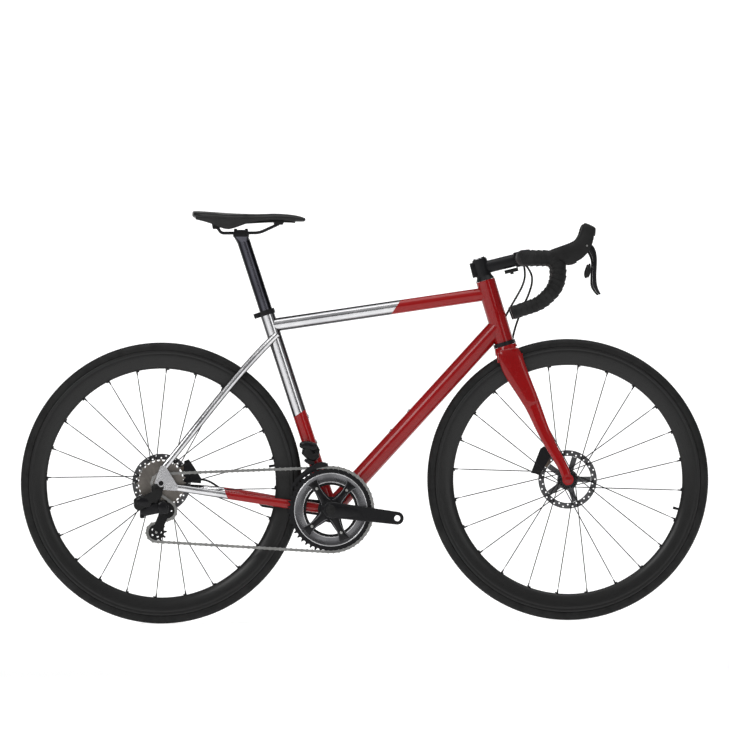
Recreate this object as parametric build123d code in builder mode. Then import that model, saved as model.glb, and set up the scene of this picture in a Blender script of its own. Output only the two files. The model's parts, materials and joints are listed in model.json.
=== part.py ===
from build123d import *
import math
import os

# Road bicycle. Row frame: +X forward, +Y to the rider's left, +Z up, origin on
# the ground half way between the two wheel contact points. Millimetres.

os.makedirs("parts", exist_ok=True)

# ---------------------------------------------------------------- driving sizes
wheelbase = 971.4
tyre_radius = 336.0
tyre_width = 26.0
rim_outer_radius = 316.5
rim_inner_radius = 273.0
rim_width = 26.4
rim_wall = 2.2
tyre_wall = 2.6

bb_drop = 66.7
chainstay_reach = 404.5
seat_angle = 72.5
seat_tube_length = 499.0
seat_tube_od = 34.0
top_tube_od = 31.8
top_tube_height = 462.5
top_tube_slope = 7.84
down_tube_od = 44.0
down_tube_angle = 47.1
head_angle = 73.7
head_tube_od = 46.0
head_tube_length = 154.5
head_tube_bottom_x = 336.4
head_tube_bottom_z = 665.5
tube_wall = 1.2

crown_below_head_tube = 9.4
front_axle_spacing = 100.0
rear_axle_spacing = 142.0
axle_diameter = 12.0
dropout_thickness = 8.0
running_clearance = 0.05
side_clearance = 0.4

steerer_od = 28.6
crown_race_od = 38.0
lower_cup_od = 54.0

seatpost_od = 30.9
seatpost_above_tube = 188.0
seatpost_inserted = 150.0

stem_length = 101.5
stem_rise = 13.3
stem_body_od = 30.0
stem_clamp_height = 40.0
bar_clamp_od = 31.8
bar_od = 23.8
bar_width = 420.0
tape_thickness = 4.1

crank_length = 160.0
crank_angle = -7.8
axle_od = 24.0
bb_shell_width = 68.0
bb_shell_od = 42.0
bb_cup_od = 46.0
bb_cup_width = 10.0
pedal_thread_radius = 7.15
pedal_face_y = 73.0
bolt_circle_radius = 55.0

chain_pitch = 12.7
roller_radius = 3.85
chain_inner_width = 2.2
plate_thickness = 0.8
plate_half_height = 4.0
tooth_height = 2.6
roller_clearance = 0.2
tooth_taper = 2.4
big_ring_teeth = 50
small_ring_teeth = 34
cog_teeth = [11, 12, 13, 14, 15, 17, 19, 21, 23, 25, 28]
pulley_teeth = 11
pulley_thickness = 2.0
pulley_holes = 5
pulley_hole_radius = 2.6
pulley_hole_circle = 10.5
sprocket_thickness = 1.6
ring_thickness = 1.9
cog_spacing = 3.85
cog_holes = 10
cog_hole_share = 0.14
smallest_cog_hole = 2.0
big_ring_y = -47.0
small_ring_y = -40.0
first_cog_y = -64.5
freehub_radius = 17.0

spoke_count = 24
spoke_radius = 0.8
rotor_radius = 70.0
rotor_thickness = 1.8
rotor_ring_width = 14.0
rotor_holes = 18
rotor_hole_radius = 1.9
rotor_arms = 5
rotor_arm_width = 13.0
carrier_thickness = 2.4
rotor_inset = 15.3
pad_gap = 0.5
pad_thickness = 3.6

boss_spacing = 64.0
boss_thread_radius = 2.5

# ---------------------------------------------------------------- key points
hub_z = tyre_radius
rear_hub = Vector(-wheelbase / 2, 0, hub_z)
front_hub = Vector(wheelbase / 2, 0, hub_z)
bb = Vector(-wheelbase / 2 + chainstay_reach, 0, hub_z - bb_drop)


def direction(degrees):
    """Unit vector in the XZ plane, measured up from +X."""
    return Vector(math.cos(math.radians(degrees)), 0, math.sin(math.radians(degrees)))


seat_up = direction(180 - seat_angle)
steer_up = direction(180 - head_angle)
down_tube_up = direction(down_tube_angle)
top_tube_forward = direction(top_tube_slope)
stem_forward = direction(stem_rise)

seat_tube_top = bb + seat_up * seat_tube_length
top_tube_start = bb + seat_up * top_tube_height
head_bottom = Vector(head_tube_bottom_x, 0, head_tube_bottom_z)
head_top = head_bottom + steer_up * head_tube_length
crown_top = head_bottom - steer_up * crown_below_head_tube


def across(origin, normal):
    """Plane at a point, its normal along a direction in the XZ plane, its x axis in XZ."""
    side = Vector(0, 1, 0)
    return Plane(origin=origin, x_dir=side.cross(normal), z_dir=normal)


def side_plane(y):
    """Plane seen from the drive side: local x is +X, local y is +Z, normal is -Y."""
    return Plane(origin=(0, y, 0), x_dir=(1, 0, 0), z_dir=(0, -1, 0))


def radial_plane(hub):
    """Half-section plane of a wheel: local x is +Y, local y is +Z."""
    return Plane(origin=hub, x_dir=(0, 1, 0), z_dir=(1, 0, 0))


def facing_plane(centre, y, side=1):
    """Plane square to the Y axis through a centre's X and Z, its normal along side * Y."""
    return Plane(origin=(centre.X, y, centre.Z), x_dir=(1, 0, 0), z_dir=(0, side, 0))


def wheel_axis(hub):
    """Axle line of a wheel, for turned shapes."""
    return Axis(hub, (0, 1, 0))


def disc(centre, radius, y0, y1):
    """Solid cylinder about a Y axis from y0 to y1."""
    with BuildPart() as solid:
        with BuildSketch(Plane(origin=(centre.X, y0, centre.Z), x_dir=(1, 0, 0), z_dir=(0, 1, 0))):
            Circle(radius)
        extrude(amount=y1 - y0)
    return solid.part


def rod(start, end, radius):
    """Solid round rod between two points."""
    run = Vector(*end) - Vector(*start)
    with BuildPart() as solid:
        with BuildSketch(Plane(origin=start, z_dir=run)):
            Circle(radius)
        extrude(amount=run.length)
    return solid.part


def pipe(points, radii, outer, inner=0.0):
    """Round tube or rod along straight runs joined by tangent arcs."""
    with BuildPart() as solid:
        with BuildLine() as path:
            FilletPolyline(*points, radius=radii)
        with BuildSketch(Plane(origin=path.line @ 0, z_dir=path.line % 0)):
            Circle(outer)
            if inner > 0:
                Circle(inner, mode=Mode.SUBTRACT)
        sweep(path=path.wires()[0])
    return solid.part


def side_shape(outline, y0, y1):
    """Plate with a side-view outline given as (x, z) points, from y0 to y1."""
    with BuildPart() as solid:
        with BuildSketch(side_plane(y1)):
            with BuildLine():
                Polyline(*outline, close=True)
            make_face()
        extrude(amount=y1 - y0)
    return solid.part


def hull_plate(circles, y0, y1):
    """Plate from y0 to y1 whose outline is the hull of (centre, radius) circles."""
    with BuildPart() as plate:
        with BuildSketch(side_plane(y1)):
            with BuildSketch(mode=Mode.PRIVATE) as outline:
                for centre, radius in circles:
                    with Locations((centre.X, centre.Z)):
                        Circle(radius)
            make_hull(outline.sketch.edges())
        extrude(amount=y1 - y0)
    return plate.part


def save(part, name):
    """Labels a part and writes its STEP file."""
    part.label = name
    export_step(part, "parts/" + name + ".step")


# ---------------------------------------------------------------- main frame tubes
def main_tube(start, end, od, wall, cutters):
    """Hollow tube whose ends are coped to the tubes they meet."""
    run = end - start
    with BuildPart() as tube:
        with BuildSketch(Plane(origin=start, z_dir=run)):
            Circle(od / 2)
            Circle(od / 2 - wall, mode=Mode.SUBTRACT)
        extrude(amount=run.length)
        for cutter in cutters:
            add(cutter, mode=Mode.SUBTRACT)
    return tube.part.solids().sort_by(SortBy.VOLUME)[-1]


head_envelope = rod(head_bottom - steer_up * 30, head_top + steer_up * 30, head_tube_od / 2)
seat_envelope = rod(bb, seat_tube_top + seat_up * 30, seat_tube_od / 2)
shell_envelope = disc(bb, bb_shell_od / 2, -bb_shell_width / 2 - 20, bb_shell_width / 2 + 20)

bearing_seat_radius = head_tube_od / 2 - 2.5
with BuildPart() as head_tube:
    with BuildSketch(across(head_bottom, steer_up)):
        Circle(head_tube_od / 2)
        Circle(bearing_seat_radius, mode=Mode.SUBTRACT)
    extrude(amount=head_tube_length)
    chamfer(head_tube.edges().filter_by(GeomType.CIRCLE), length=0.6)

with BuildPart() as bottom_bracket_shell:
    with BuildSketch(side_plane(bb_shell_width / 2)):
        with Locations((bb.X, bb.Z)):
            Circle(bb_shell_od / 2)
            Circle(bb_shell_od / 2 - 3.5, mode=Mode.SUBTRACT)
    extrude(amount=bb_shell_width)

seatpost_bore = seatpost_od / 2 + running_clearance
with BuildPart() as seat_tube:
    with BuildSketch(across(bb, seat_up)):
        Circle(seat_tube_od / 2)
        Circle(seatpost_bore, mode=Mode.SUBTRACT)
    extrude(amount=seat_tube_length)
    add(shell_envelope, mode=Mode.SUBTRACT)

down_tube_end = bb + down_tube_up * ((head_bottom.X - bb.X + 10) / down_tube_up.X)
down_tube = main_tube(
    bb, down_tube_end, down_tube_od, tube_wall, [shell_envelope, seat_envelope, head_envelope],
)

top_tube_length = (head_top.X - top_tube_start.X + 30) / top_tube_forward.X
top_tube = main_tube(
    top_tube_start, top_tube_start + top_tube_forward * top_tube_length,
    top_tube_od, tube_wall, [seat_envelope, head_envelope],
)
save(bottom_bracket_shell.part, "bottom_bracket_shell")

# ---------------------------------------------------------------- bottle bosses
boss_radius = 5.0
boss_stand = 2.0
boss_depth = 8.0


def boss_points(start, along, first, outward, tube_radius):
    """Mouth centres of one pair of bottle bosses."""
    return [
        start
        + along * (first + k * boss_spacing)
        + outward * (tube_radius + boss_stand)
        for k in range(2)
    ]


down_tube_out = direction(down_tube_angle + 90)
seat_tube_out = direction(90 - seat_angle)
down_boss_mouths = boss_points(bb, down_tube_up, 235.0, down_tube_out, down_tube_od / 2)
seat_boss_mouths = boss_points(bb, seat_up, 165.0, seat_tube_out, seat_tube_od / 2)


def boss_set(mouths, outward):
    """Two threaded bushes; each mouth stands just proud of its tube."""
    with BuildPart() as bosses:
        for mouth in mouths:
            with BuildSketch(across(mouth, outward * -1)):
                Circle(boss_radius)
                Circle(boss_thread_radius, mode=Mode.SUBTRACT)
            extrude(amount=boss_depth)
    return bosses.part


def boss_holes(mouths, outward):
    """Round clearance for the bushes in the tube wall."""
    with BuildPart() as holes:
        for mouth in mouths:
            with BuildSketch(across(mouth, outward * -1)):
                Circle(boss_radius)
            extrude(amount=boss_depth + 4)
    return holes.part


down_tube = down_tube - boss_holes(down_boss_mouths, down_tube_out)
seat_tube_body = seat_tube.part - boss_holes(seat_boss_mouths, seat_tube_out)
seat_bosses = boss_set(seat_boss_mouths, seat_tube_out) - rod(bb, seat_tube_top, seatpost_bore + 0.1)
bottle_bosses = Compound(
    children=list(boss_set(down_boss_mouths, down_tube_out).solids())
    + list(seat_bosses.solids())
)

# ---------------------------------------------------------------- rear triangle
axle_boss_radius = 15.0
dropout_inner_y = rear_axle_spacing / 2
dropout_outer_y = dropout_inner_y + dropout_thickness
stay_end_radius = 8.0
chainstay_tip = rear_hub + Vector(32.6, 0, -10.3)
seatstay_tip = rear_hub + Vector(5.6, 0, 34.9)
seatstay_top = bb + seat_up * 433.0


def stay(stations, normal):
    """Lofted stay: stations are (x, z, y, height, width) of its elliptical sections."""
    with BuildPart() as solid:
        for x, z, y, height, width in stations:
            plane = Plane(origin=(x, y, z), x_dir=(0, 1, 0), z_dir=normal)
            with BuildSketch(plane):
                Ellipse(width / 2, height / 2)
        loft()
    return solid.part


chainstay_run = bb - chainstay_tip
left_chainstay_rise = 8.0


def chainstay(side, rise):
    """side is +1 on the left and -1 on the drive side; rise lifts the middle of the stay."""
    stations = [
        (chainstay_tip.X, chainstay_tip.Z, side * 75.0, 14.6, 7.2),
        (-390.0, 315.9 + rise * 0.7, side * 63.5, 17.5, 12.0),
        (-300.0, 301.7 + rise, side * 46.0, 19.0, 15.0),
        (-190.0, 284.4 + rise * 0.5, side * 29.0, 21.0, 16.0),
        (-100.0, 271.5, side * 26.0, 22.0, 16.0),
    ]
    return stay(stations, chainstay_run.normalized()) - shell_envelope - seat_envelope


seatstay_run = seatstay_top - seatstay_tip


def seatstay(side):
    """One seatstay, from the dropout up to the seat tube."""
    stations = [
        (seatstay_tip.X, seatstay_tip.Z, side * 75.0, 15.0, 7.6),
        (-420.0, 444.8, side * 62.0, 16.5, 11.0),
        (-320.0, 567.2, side * 35.0, 17.0, 13.0),
        (seatstay_top.X + 6, seatstay_top.Z + 7.3, side * 13.0, 17.0, 13.0),
    ]
    return stay(stations, seatstay_run.normalized()) - seat_envelope


def dropout(side):
    """Forged plate that joins both stays and holds the axle end."""
    y0 = dropout_inner_y if side > 0 else -dropout_outer_y
    with BuildPart() as plate:
        with BuildSketch(side_plane(y0 + dropout_thickness)):
            with BuildSketch(mode=Mode.PRIVATE) as outline:
                with Locations((rear_hub.X, rear_hub.Z)):
                    Circle(axle_boss_radius)
                with Locations((chainstay_tip.X, chainstay_tip.Z)):
                    Circle(stay_end_radius)
                with Locations((seatstay_tip.X, seatstay_tip.Z)):
                    Circle(stay_end_radius)
            make_hull(outline.sketch.edges())
            with Locations((rear_hub.X, rear_hub.Z)):
                Circle(axle_diameter / 2, mode=Mode.SUBTRACT)
        extrude(amount=dropout_thickness)
    return plate.part


dropout_left = dropout(1)
dropout_right = dropout(-1)
stays = [
    chainstay(1, left_chainstay_rise) - dropout_left,
    chainstay(-1, 0.0) - dropout_right,
    seatstay(1) - dropout_left,
    seatstay(-1) - dropout_right,
]
stay_solids = [s.solids().sort_by(SortBy.VOLUME)[-1] for s in stays]
down_tube = down_tube - stay_solids[0] - stay_solids[1]
seat_tube_body = seat_tube_body - stay_solids[0] - stay_solids[1]
save(Compound(children=stay_solids), "stays")
save(Compound(children=[dropout_left, dropout_right]), "dropouts")
save(bottle_bosses, "bottle_bosses")
save(down_tube.solids().sort_by(SortBy.VOLUME)[-1], "down_tube")
save(top_tube, "top_tube")
save(seat_tube_body.solids().sort_by(SortBy.VOLUME)[-1], "seat_tube")

# ---------------------------------------------------------------- thru axles


def thru_axle(hub, reach, head_side):
    """12 mm axle through both dropouts, with a low round head outside one of them."""
    with BuildPart() as axle:
        with BuildSketch(Plane(origin=(hub.X, -reach, hub.Z), x_dir=(1, 0, 0), z_dir=(0, 1, 0))):
            Circle(axle_diameter / 2)
        extrude(amount=2 * reach)
        head_y = reach if head_side > 0 else -reach - 3.0
        with BuildSketch(Plane(origin=(hub.X, head_y, hub.Z), x_dir=(1, 0, 0), z_dir=(0, 1, 0))):
            Circle(9.0)
        extrude(amount=3.0)
        socket_y = reach + 3.0 if head_side > 0 else -reach - 3.0
        socket_dir = (0, -1, 0) if head_side > 0 else (0, 1, 0)
        with BuildSketch(Plane(origin=(hub.X, socket_y, hub.Z), x_dir=(1, 0, 0), z_dir=socket_dir)):
            RegularPolygon(3.4, 6)
        extrude(amount=10.0, mode=Mode.SUBTRACT)
    return axle.part


fork_dropout_thickness = 9.0
save(thru_axle(rear_hub, dropout_outer_y, 1), "rear_thru_axle")
save(thru_axle(front_hub, front_axle_spacing / 2 + fork_dropout_thickness, 1), "front_thru_axle")

# ---------------------------------------------------------------- headset and bottom bracket bearings
steerer_top_t = head_tube_length + 56.0
race_height = 12.0
bearing_height = 8.0
cup_gap = 0.4


def ring_on_axis(origin, normal, height, outer, inner):
    """Plain ring that starts at a point and grows along the normal."""
    with BuildPart() as ring:
        with BuildSketch(across(origin, normal)):
            Circle(outer)
            Circle(inner, mode=Mode.SUBTRACT)
        extrude(amount=height)
    return ring.part


cup_height = crown_below_head_tube - cup_gap
lower_cup = ring_on_axis(
    head_bottom - steer_up * cup_height, steer_up, cup_height,
    lower_cup_od / 2, crown_race_od / 2 + running_clearance,
)
lower_bearing = ring_on_axis(
    head_bottom, steer_up, bearing_height, bearing_seat_radius, steerer_od / 2 + running_clearance,
)
upper_bearing = ring_on_axis(
    head_top - steer_up * bearing_height, steer_up, bearing_height,
    bearing_seat_radius, steerer_od / 2 + running_clearance,
)


def bb_cup(side):
    """External bearing cup screwed into one end of the shell."""
    y0 = bb_shell_width / 2
    with BuildPart() as cup:
        with BuildSketch(Plane(origin=(bb.X, side * y0, bb.Z), x_dir=(1, 0, 0), z_dir=(0, side, 0))):
            Circle(bb_cup_od / 2)
            Circle(axle_od / 2 + running_clearance, mode=Mode.SUBTRACT)
        extrude(amount=bb_cup_width)
        chamfer(
            cup.edges().filter_by(GeomType.CIRCLE).sort_by(Axis.Y)[-1 if side > 0 else 0], length=1.2,
        )
    return cup.part


save(
    Compound(children=[lower_cup, lower_bearing, upper_bearing, bb_cup(1), bb_cup(-1)]),
    "frame_bearings",
)

# ---------------------------------------------------------------- fork
wheel_gap = 5.0
wheel_slot_half = 18.0
tip_y = front_axle_spacing / 2 + fork_dropout_thickness / 2
blade_stations = [
    (353.0, 626.0, 24.5, 60.0, 21.0),
    (365.5, 590.0, 27.0, 53.0, 19.0),
    (386.0, 551.0, 30.0, 44.0, 17.0),
    (412.3, 492.5, 35.5, 34.0, 14.5),
    (463.4, 386.2, 49.5, 24.0, 10.5),
    (482.5, 343.0, tip_y, 23.0, fork_dropout_thickness),
]
blade_normal = Vector(0.43, 0, -0.903)
crown_shoulder = crown_top - steer_up * 34.0


def fork_blade(side):
    """Tapered blade; each station is (x, z, y, chord, thickness)."""
    with BuildPart() as blade:
        for x, z, y, chord, thickness in blade_stations:
            with BuildSketch(Plane(origin=(x, side * y, z), x_dir=(0, 1, 0), z_dir=blade_normal)):
                Ellipse(thickness / 2, chord / 2)
        loft()
        end_y = side * front_axle_spacing / 2
        with BuildSketch(facing_plane(front_hub, end_y, side)):
            Circle(13.5)
        extrude(amount=fork_dropout_thickness)
    return blade.part


with BuildPart() as crown:
    with BuildSketch(across(crown_top, steer_up * -1)):
        Circle(lower_cup_od / 2)
    with BuildSketch(across(crown_top - steer_up * 14.0, steer_up * -1)):
        RectangleRounded(58.0, 60.0, 26.0)
    with BuildSketch(across(crown_shoulder, steer_up * -1)):
        RectangleRounded(62.0, 70.0, 26.0)
    loft()

wheel_space = disc(front_hub, tyre_radius + wheel_gap, -wheel_slot_half, wheel_slot_half)
hub_space = disc(front_hub, 60.0, -front_axle_spacing / 2, front_axle_spacing / 2)
with BuildPart() as fork:
    add(crown.part)
    add(fork_blade(1))
    add(fork_blade(-1))
    with BuildSketch(across(crown_top, steer_up)):
        Circle(crown_race_od / 2)
    extrude(amount=race_height - 3.0)
    with BuildSketch(across(crown_top, steer_up)):
        Circle(steerer_od / 2)
    extrude(amount=crown_below_head_tube + steerer_top_t)
    add(wheel_space, mode=Mode.SUBTRACT)
    add(hub_space, mode=Mode.SUBTRACT)
    add(disc(front_hub, axle_diameter / 2, -80, 80), mode=Mode.SUBTRACT)

# ---------------------------------------------------------------- stem
cover_height = 9.6
stem_bottom = head_top + steer_up * (cover_height + cup_gap)
stem_joint = stem_bottom + steer_up * (stem_clamp_height / 2)
bar_centre = stem_joint + stem_forward * stem_length
bar_space = disc(bar_centre, bar_clamp_od / 2, -40.0, 40.0)
steerer_space = rod(crown_top, crown_top + steer_up * 260, steerer_od / 2)
face_split = 0.8

with BuildPart() as stem:
    with BuildSketch(across(stem_bottom, steer_up)):
        Circle(18.2)
    extrude(amount=stem_clamp_height)
    with BuildSketch(across(stem_joint, stem_forward)):
        Ellipse(stem_body_od / 2, stem_body_od / 2 - 1.5)
    extrude(amount=stem_length - 6)
    with BuildSketch(across(bar_centre - stem_forward * 20.0, stem_forward)):
        RectangleRounded(stem_body_od + 6.0, 44.0, 5.0)
    extrude(amount=20.0 - face_split)
    with BuildSketch(across(stem_joint - stem_forward * 26.0, stem_forward)):
        RectangleRounded(stem_clamp_height - 4.0, 15.0, 5.0)
    extrude(amount=20.0)
    add(bar_space, mode=Mode.SUBTRACT)
    add(steerer_space, mode=Mode.SUBTRACT)
    with BuildSketch(across(stem_joint - stem_forward * 30.0, stem_forward)):
        Rectangle(stem_clamp_height + 10.0, 1.2)
    extrude(amount=20.0, mode=Mode.SUBTRACT)
save(stem.part, "stem")

face_bolt_rise = 14.0
face_bolt_y = 16.0
with BuildPart() as faceplate:
    with BuildSketch(across(bar_centre + stem_forward * face_split, stem_forward)):
        RectangleRounded(stem_body_od + 6.0, 44.0, 5.0)
    extrude(amount=19.5 - face_split)
    fillet(faceplate.faces().sort_by(Axis.X)[-1].edges(), radius=6.0)
    add(bar_space, mode=Mode.SUBTRACT)
stem_normal = direction(stem_rise + 90)
bolt_heads = []
for rise in (-face_bolt_rise, face_bolt_rise):
    for y in (-face_bolt_y, face_bolt_y):
        head = bar_centre + stem_forward * 12.0 + stem_normal * rise + Vector(0, y, 0)
        bolt_heads.append(rod(head, head + stem_forward * 8.0, 3.2))
for bolt in bolt_heads:
    faceplate.part = faceplate.part - bolt
save(faceplate.part, "stem_faceplate")

with BuildPart() as dust_cover:
    with BuildSketch(across(head_top + steer_up * cup_gap, steer_up)):
        Circle(head_tube_od / 2)
    with BuildSketch(across(stem_bottom, steer_up)):
        Circle(18.2)
    loft()
    add(steerer_space, mode=Mode.SUBTRACT)
cap_start = stem_bottom + steer_up * stem_clamp_height
with BuildPart() as top_cap:
    with BuildSketch(across(cap_start, steer_up)):
        Circle(17.0)
    extrude(amount=3.5)
    chamfer(top_cap.edges().filter_by(GeomType.CIRCLE).sort_by(Axis.Z)[-1], length=1.2)
    add(
        rod(crown_top, crown_top + steer_up * (crown_below_head_tube + steerer_top_t), steerer_od / 2),
        mode=Mode.SUBTRACT,
    )
clamp_bolts = []
for rise in (-10.0, 10.0):
    bolt_start = stem_joint - stem_forward * 22.0 + steer_up * rise
    clamp_bolts.append(rod(bolt_start - Vector(0, 10.5, 0), bolt_start - Vector(0, 7.5, 0), 3.6))
save(Compound(children=[dust_cover.part, top_cap.part] + bolt_heads + clamp_bolts), "stem_hardware")

# ---------------------------------------------------------------- handlebar and tape
half_width = bar_width / 2
bar_clamp_half = 36.0
bar_route = [
    (bar_centre.X, 0, bar_centre.Z),
    (bar_centre.X, half_width - 3, bar_centre.Z),
    (467.0, half_width, 865.0),
    (466.0, half_width, 798.0),
    (424.0, half_width + 2, 757.5),
    (356.1, half_width + 5, 735.0),
]
bar_radii = [38.0, 27.0, 70.0, 90.0]
tape_start_y = 58.0


def mirrored_route(points):
    """The same route on the other side of the middle plane."""
    return [(x, -y, z) for x, y, z in points]


with BuildPart() as handlebar:
    add(pipe(bar_route, bar_radii, bar_od / 2, bar_od / 2 - 2.0))
    add(pipe(mirrored_route(bar_route), bar_radii, bar_od / 2, bar_od / 2 - 2.0))
    with BuildSketch(facing_plane(bar_centre, -bar_clamp_half)):
        Circle(bar_clamp_od / 2)
        Circle(bar_od / 2, mode=Mode.SUBTRACT)
    extrude(amount=2 * bar_clamp_half)
plug_length = 3.0
tape_route = [(bar_centre.X, tape_start_y, bar_centre.Z)] + bar_route[1:]
bar_end = Vector(*bar_route[-1])
bar_end_out = (bar_end - Vector(*bar_route[-2])).normalized()
plug_left = rod(bar_end, bar_end + bar_end_out * plug_length, bar_od / 2 + 3.0)
plug_right = plug_left.mirror(Plane.XZ)
save(Compound(children=list(handlebar.part.solids()) + [plug_left, plug_right]), "handlebar")
tape_left = pipe(tape_route, bar_radii, bar_od / 2 + tape_thickness, bar_od / 2)
tape_right = pipe(mirrored_route(tape_route), bar_radii, bar_od / 2 + tape_thickness, bar_od / 2)

# ---------------------------------------------------------------- lever hoods
hood_y = half_width - 1.0
hood_half = 15.0
bracket_half = 11.0
lever_half = 6.0
lever_slot_half = lever_half + 0.6
lever_pivot = Vector(534.0, 0, 893.0)
pivot_pin_radius = 2.5
hood_outline = [
    (441.0, 881.0), (470.0, 892.0), (495.0, 900.0), (511.0, 910.0), (520.0, 926.0), (525.0, 942.0),
    (533.0, 950.0), (541.0, 942.5), (553.5, 934.0), (555.5, 918.0), (552.0, 897.0), (543.0, 882.0),
    (531.0, 863.0), (513.0, 852.0), (492.0, 845.0), (478.0, 850.0), (464.0, 868.0),
]
lever_room_outline = [
    (560.0, 914.0), (545.0, 914.0), (530.0, 908.0), (519.0, 898.0),
    (508.0, 872.0), (508.0, 840.0), (560.0, 840.0),
]
bracket_outline = [
    (478.0, 886.0), (500.0, 896.0), (516.0, 906.0), (526.0, 924.0), (533.0, 938.0),
    (546.0, 926.0), (546.0, 900.0), (536.0, 882.0), (524.0, 868.0), (506.0, 860.0), (490.0, 856.0),
]


def hood_pair(side):
    """Rubber hood and the hard bracket inside it; the lever slot is open to the front."""
    y = side * hood_y
    with BuildPart() as hood:
        with BuildSketch(side_plane(y + hood_half)):
            with BuildLine():
                Polyline(*hood_outline, close=True)
            make_face()
        extrude(amount=2 * hood_half)
        chamfer(
            hood.faces().sort_by(Axis.Y)[0].edges() + hood.faces().sort_by(Axis.Y)[-1].edges(),
            length=3.0,
        )
    bracket = side_shape(bracket_outline, y - bracket_half, y + bracket_half)
    room = side_shape(lever_room_outline, y - lever_slot_half, y + lever_slot_half)
    tape = tape_left if side > 0 else tape_right
    bar = handlebar.part
    pin = disc(
        Vector(lever_pivot.X, 0, lever_pivot.Z), pivot_pin_radius, y - bracket_half + 1,
        y + bracket_half - 1,
    )
    cover = hood.part - bracket - room - tape - bar
    body = bracket - room - tape - bar + pin
    return (cover.solids().sort_by(SortBy.VOLUME)[-1], body.solids().sort_by(SortBy.VOLUME)[-1])


left_hood = hood_pair(1)
right_hood = hood_pair(-1)
save(Compound(children=[tape_left, tape_right]), "bar_tape")
save(Compound(children=list(left_hood) + list(right_hood)), "lever_hoods")

# ---------------------------------------------------------------- brake levers and shift buttons
lever_outline = [
    (528.0, 898.0), (540.0, 899.0), (550.0, 893.0), (557.0, 878.0), (558.5, 858.0), (556.0, 825.0),
    (556.0, 803.0), (561.0, 788.0), (567.0, 777.0), (561.0, 776.0), (550.0, 788.0), (545.0, 800.0),
    (546.0, 826.0), (548.0, 855.0), (544.0, 872.0), (536.0, 884.0), (528.0, 887.0),
]
button_outline = [
    (530.0, 823.0), (531.5, 832.0), (537.5, 850.0), (542.5, 850.0), (543.5, 838.0), (541.5, 824.0),
    (536.0, 816.0),
]
button_pivot = Vector(540.0, 0, 849.0)
button_pin_radius = 1.5
button_half = 5.5


def brake_lever(side):
    """Lever blade on its pivot, with the lug and pin that carry the shift buttons."""
    y = side * hood_y
    with BuildPart() as lever:
        with BuildSketch(side_plane(y + lever_half)):
            with BuildLine():
                Polyline(*lever_outline, close=True)
            make_face()
            with Locations((lever_pivot.X, lever_pivot.Z)):
                Circle(pivot_pin_radius + running_clearance, mode=Mode.SUBTRACT)
        extrude(amount=2 * lever_half)
    lug_y = y + side * (button_half + 0.3)
    lug_end_y = y + side * (button_half + 3.0)
    lug = hull_plate(
        [(button_pivot, 3.5), (Vector(549.0, 0, 853.0), 3.5)], min(lug_y, lug_end_y),
        max(lug_y, lug_end_y),
    )
    pin_end_y = y - side * button_half
    pin = disc(button_pivot, button_pin_radius, min(lug_y, pin_end_y), max(lug_y, pin_end_y))
    return lever.part + lug + pin


def shift_button(side):
    """Two paddles side by side on one small rocker, behind the brake lever."""
    y = side * hood_y
    with BuildPart() as button:
        with BuildSketch(side_plane(y + button_half)):
            with BuildLine():
                Polyline(*button_outline, close=True)
            make_face()
            with Locations((button_pivot.X, button_pivot.Z)):
                Circle(3.5)
                Circle(button_pin_radius + running_clearance, mode=Mode.SUBTRACT)
        extrude(amount=2 * button_half)
    return button.part


save(brake_lever(1), "brake_lever_left")
save(brake_lever(-1), "brake_lever_right")
save(shift_button(1), "shift_buttons_left")
save(shift_button(-1), "shift_buttons_right")

# ---------------------------------------------------------------- junction box under the stem
box_length = 33.0
box_height = 9.0
box_width = 20.0
box_centre = bar_centre - stem_forward * 34.0 - stem_normal * (stem_body_od / 2 + 3.0 + box_height / 2)
with BuildPart() as junction_box:
    with BuildSketch(across(box_centre - stem_forward * (box_length / 2), stem_forward)):
        RectangleRounded(box_height, box_width, 2.5)
    extrude(amount=box_length)
    with BuildSketch(across(box_centre - stem_forward * 4.0, stem_forward)):
        with Locations((box_height / 2 + 1.5, 0)):
            Rectangle(5.0, 8.0)
    extrude(amount=8.0)
junction_body = junction_box.part - stem.part
save(junction_body.solids().sort_by(SortBy.VOLUME)[-1], "junction_box")

# ---------------------------------------------------------------- disc calipers and pads
front_rotor_y = front_axle_spacing / 2 - rotor_inset
rear_rotor_y = rear_axle_spacing / 2 - rotor_inset
caliper_half = 14.0
pad_room = 1.0
front_caliper_outline = [
    (398.0, 352.0), (420.0, 349.0), (446.0, 392.0), (444.0, 406.0), (430.0, 416.0), (421.0, 410.0),
]
rear_caliper_outline = [
    (-434.0, 350.0), (-431.0, 338.0), (-392.0, 334.0), (-390.0, 345.0), (-409.0, 376.0),
    (-420.0, 392.0), (-431.0, 388.0),
]
pad_height = 12.4
pad_length = 20.0


def caliper(outline, rotor_y, slot_half, hub):
    """Caliper body with a slot for the rotor and a square well for its pads."""
    body = side_shape(outline, rotor_y - caliper_half, rotor_y + caliper_half)
    slot = disc(hub, rotor_radius + 2.0, rotor_y - slot_half, rotor_y + slot_half)
    return body - slot


front_pad_angle = 141.0
rear_pad_angle = 32.0
pad_orbit = rotor_radius - 7.2
front_pad_centre = front_hub + direction(front_pad_angle) * pad_orbit
rear_pad_centre = rear_hub + direction(rear_pad_angle) * pad_orbit
pad_total = pad_gap + pad_thickness
slot_half = rotor_thickness / 2 + pad_total + pad_room
front_caliper = caliper(front_caliper_outline, front_rotor_y, slot_half, front_hub) - fork.part
rear_caliper = caliper(rear_caliper_outline, rear_rotor_y, slot_half, rear_hub)
for solid in stay_solids:
    rear_caliper = rear_caliper - solid
rear_caliper = rear_caliper - dropout_left
save(front_caliper.solids().sort_by(SortBy.VOLUME)[-1], "front_caliper")
save(rear_caliper.solids().sort_by(SortBy.VOLUME)[-1], "rear_caliper")


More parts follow.
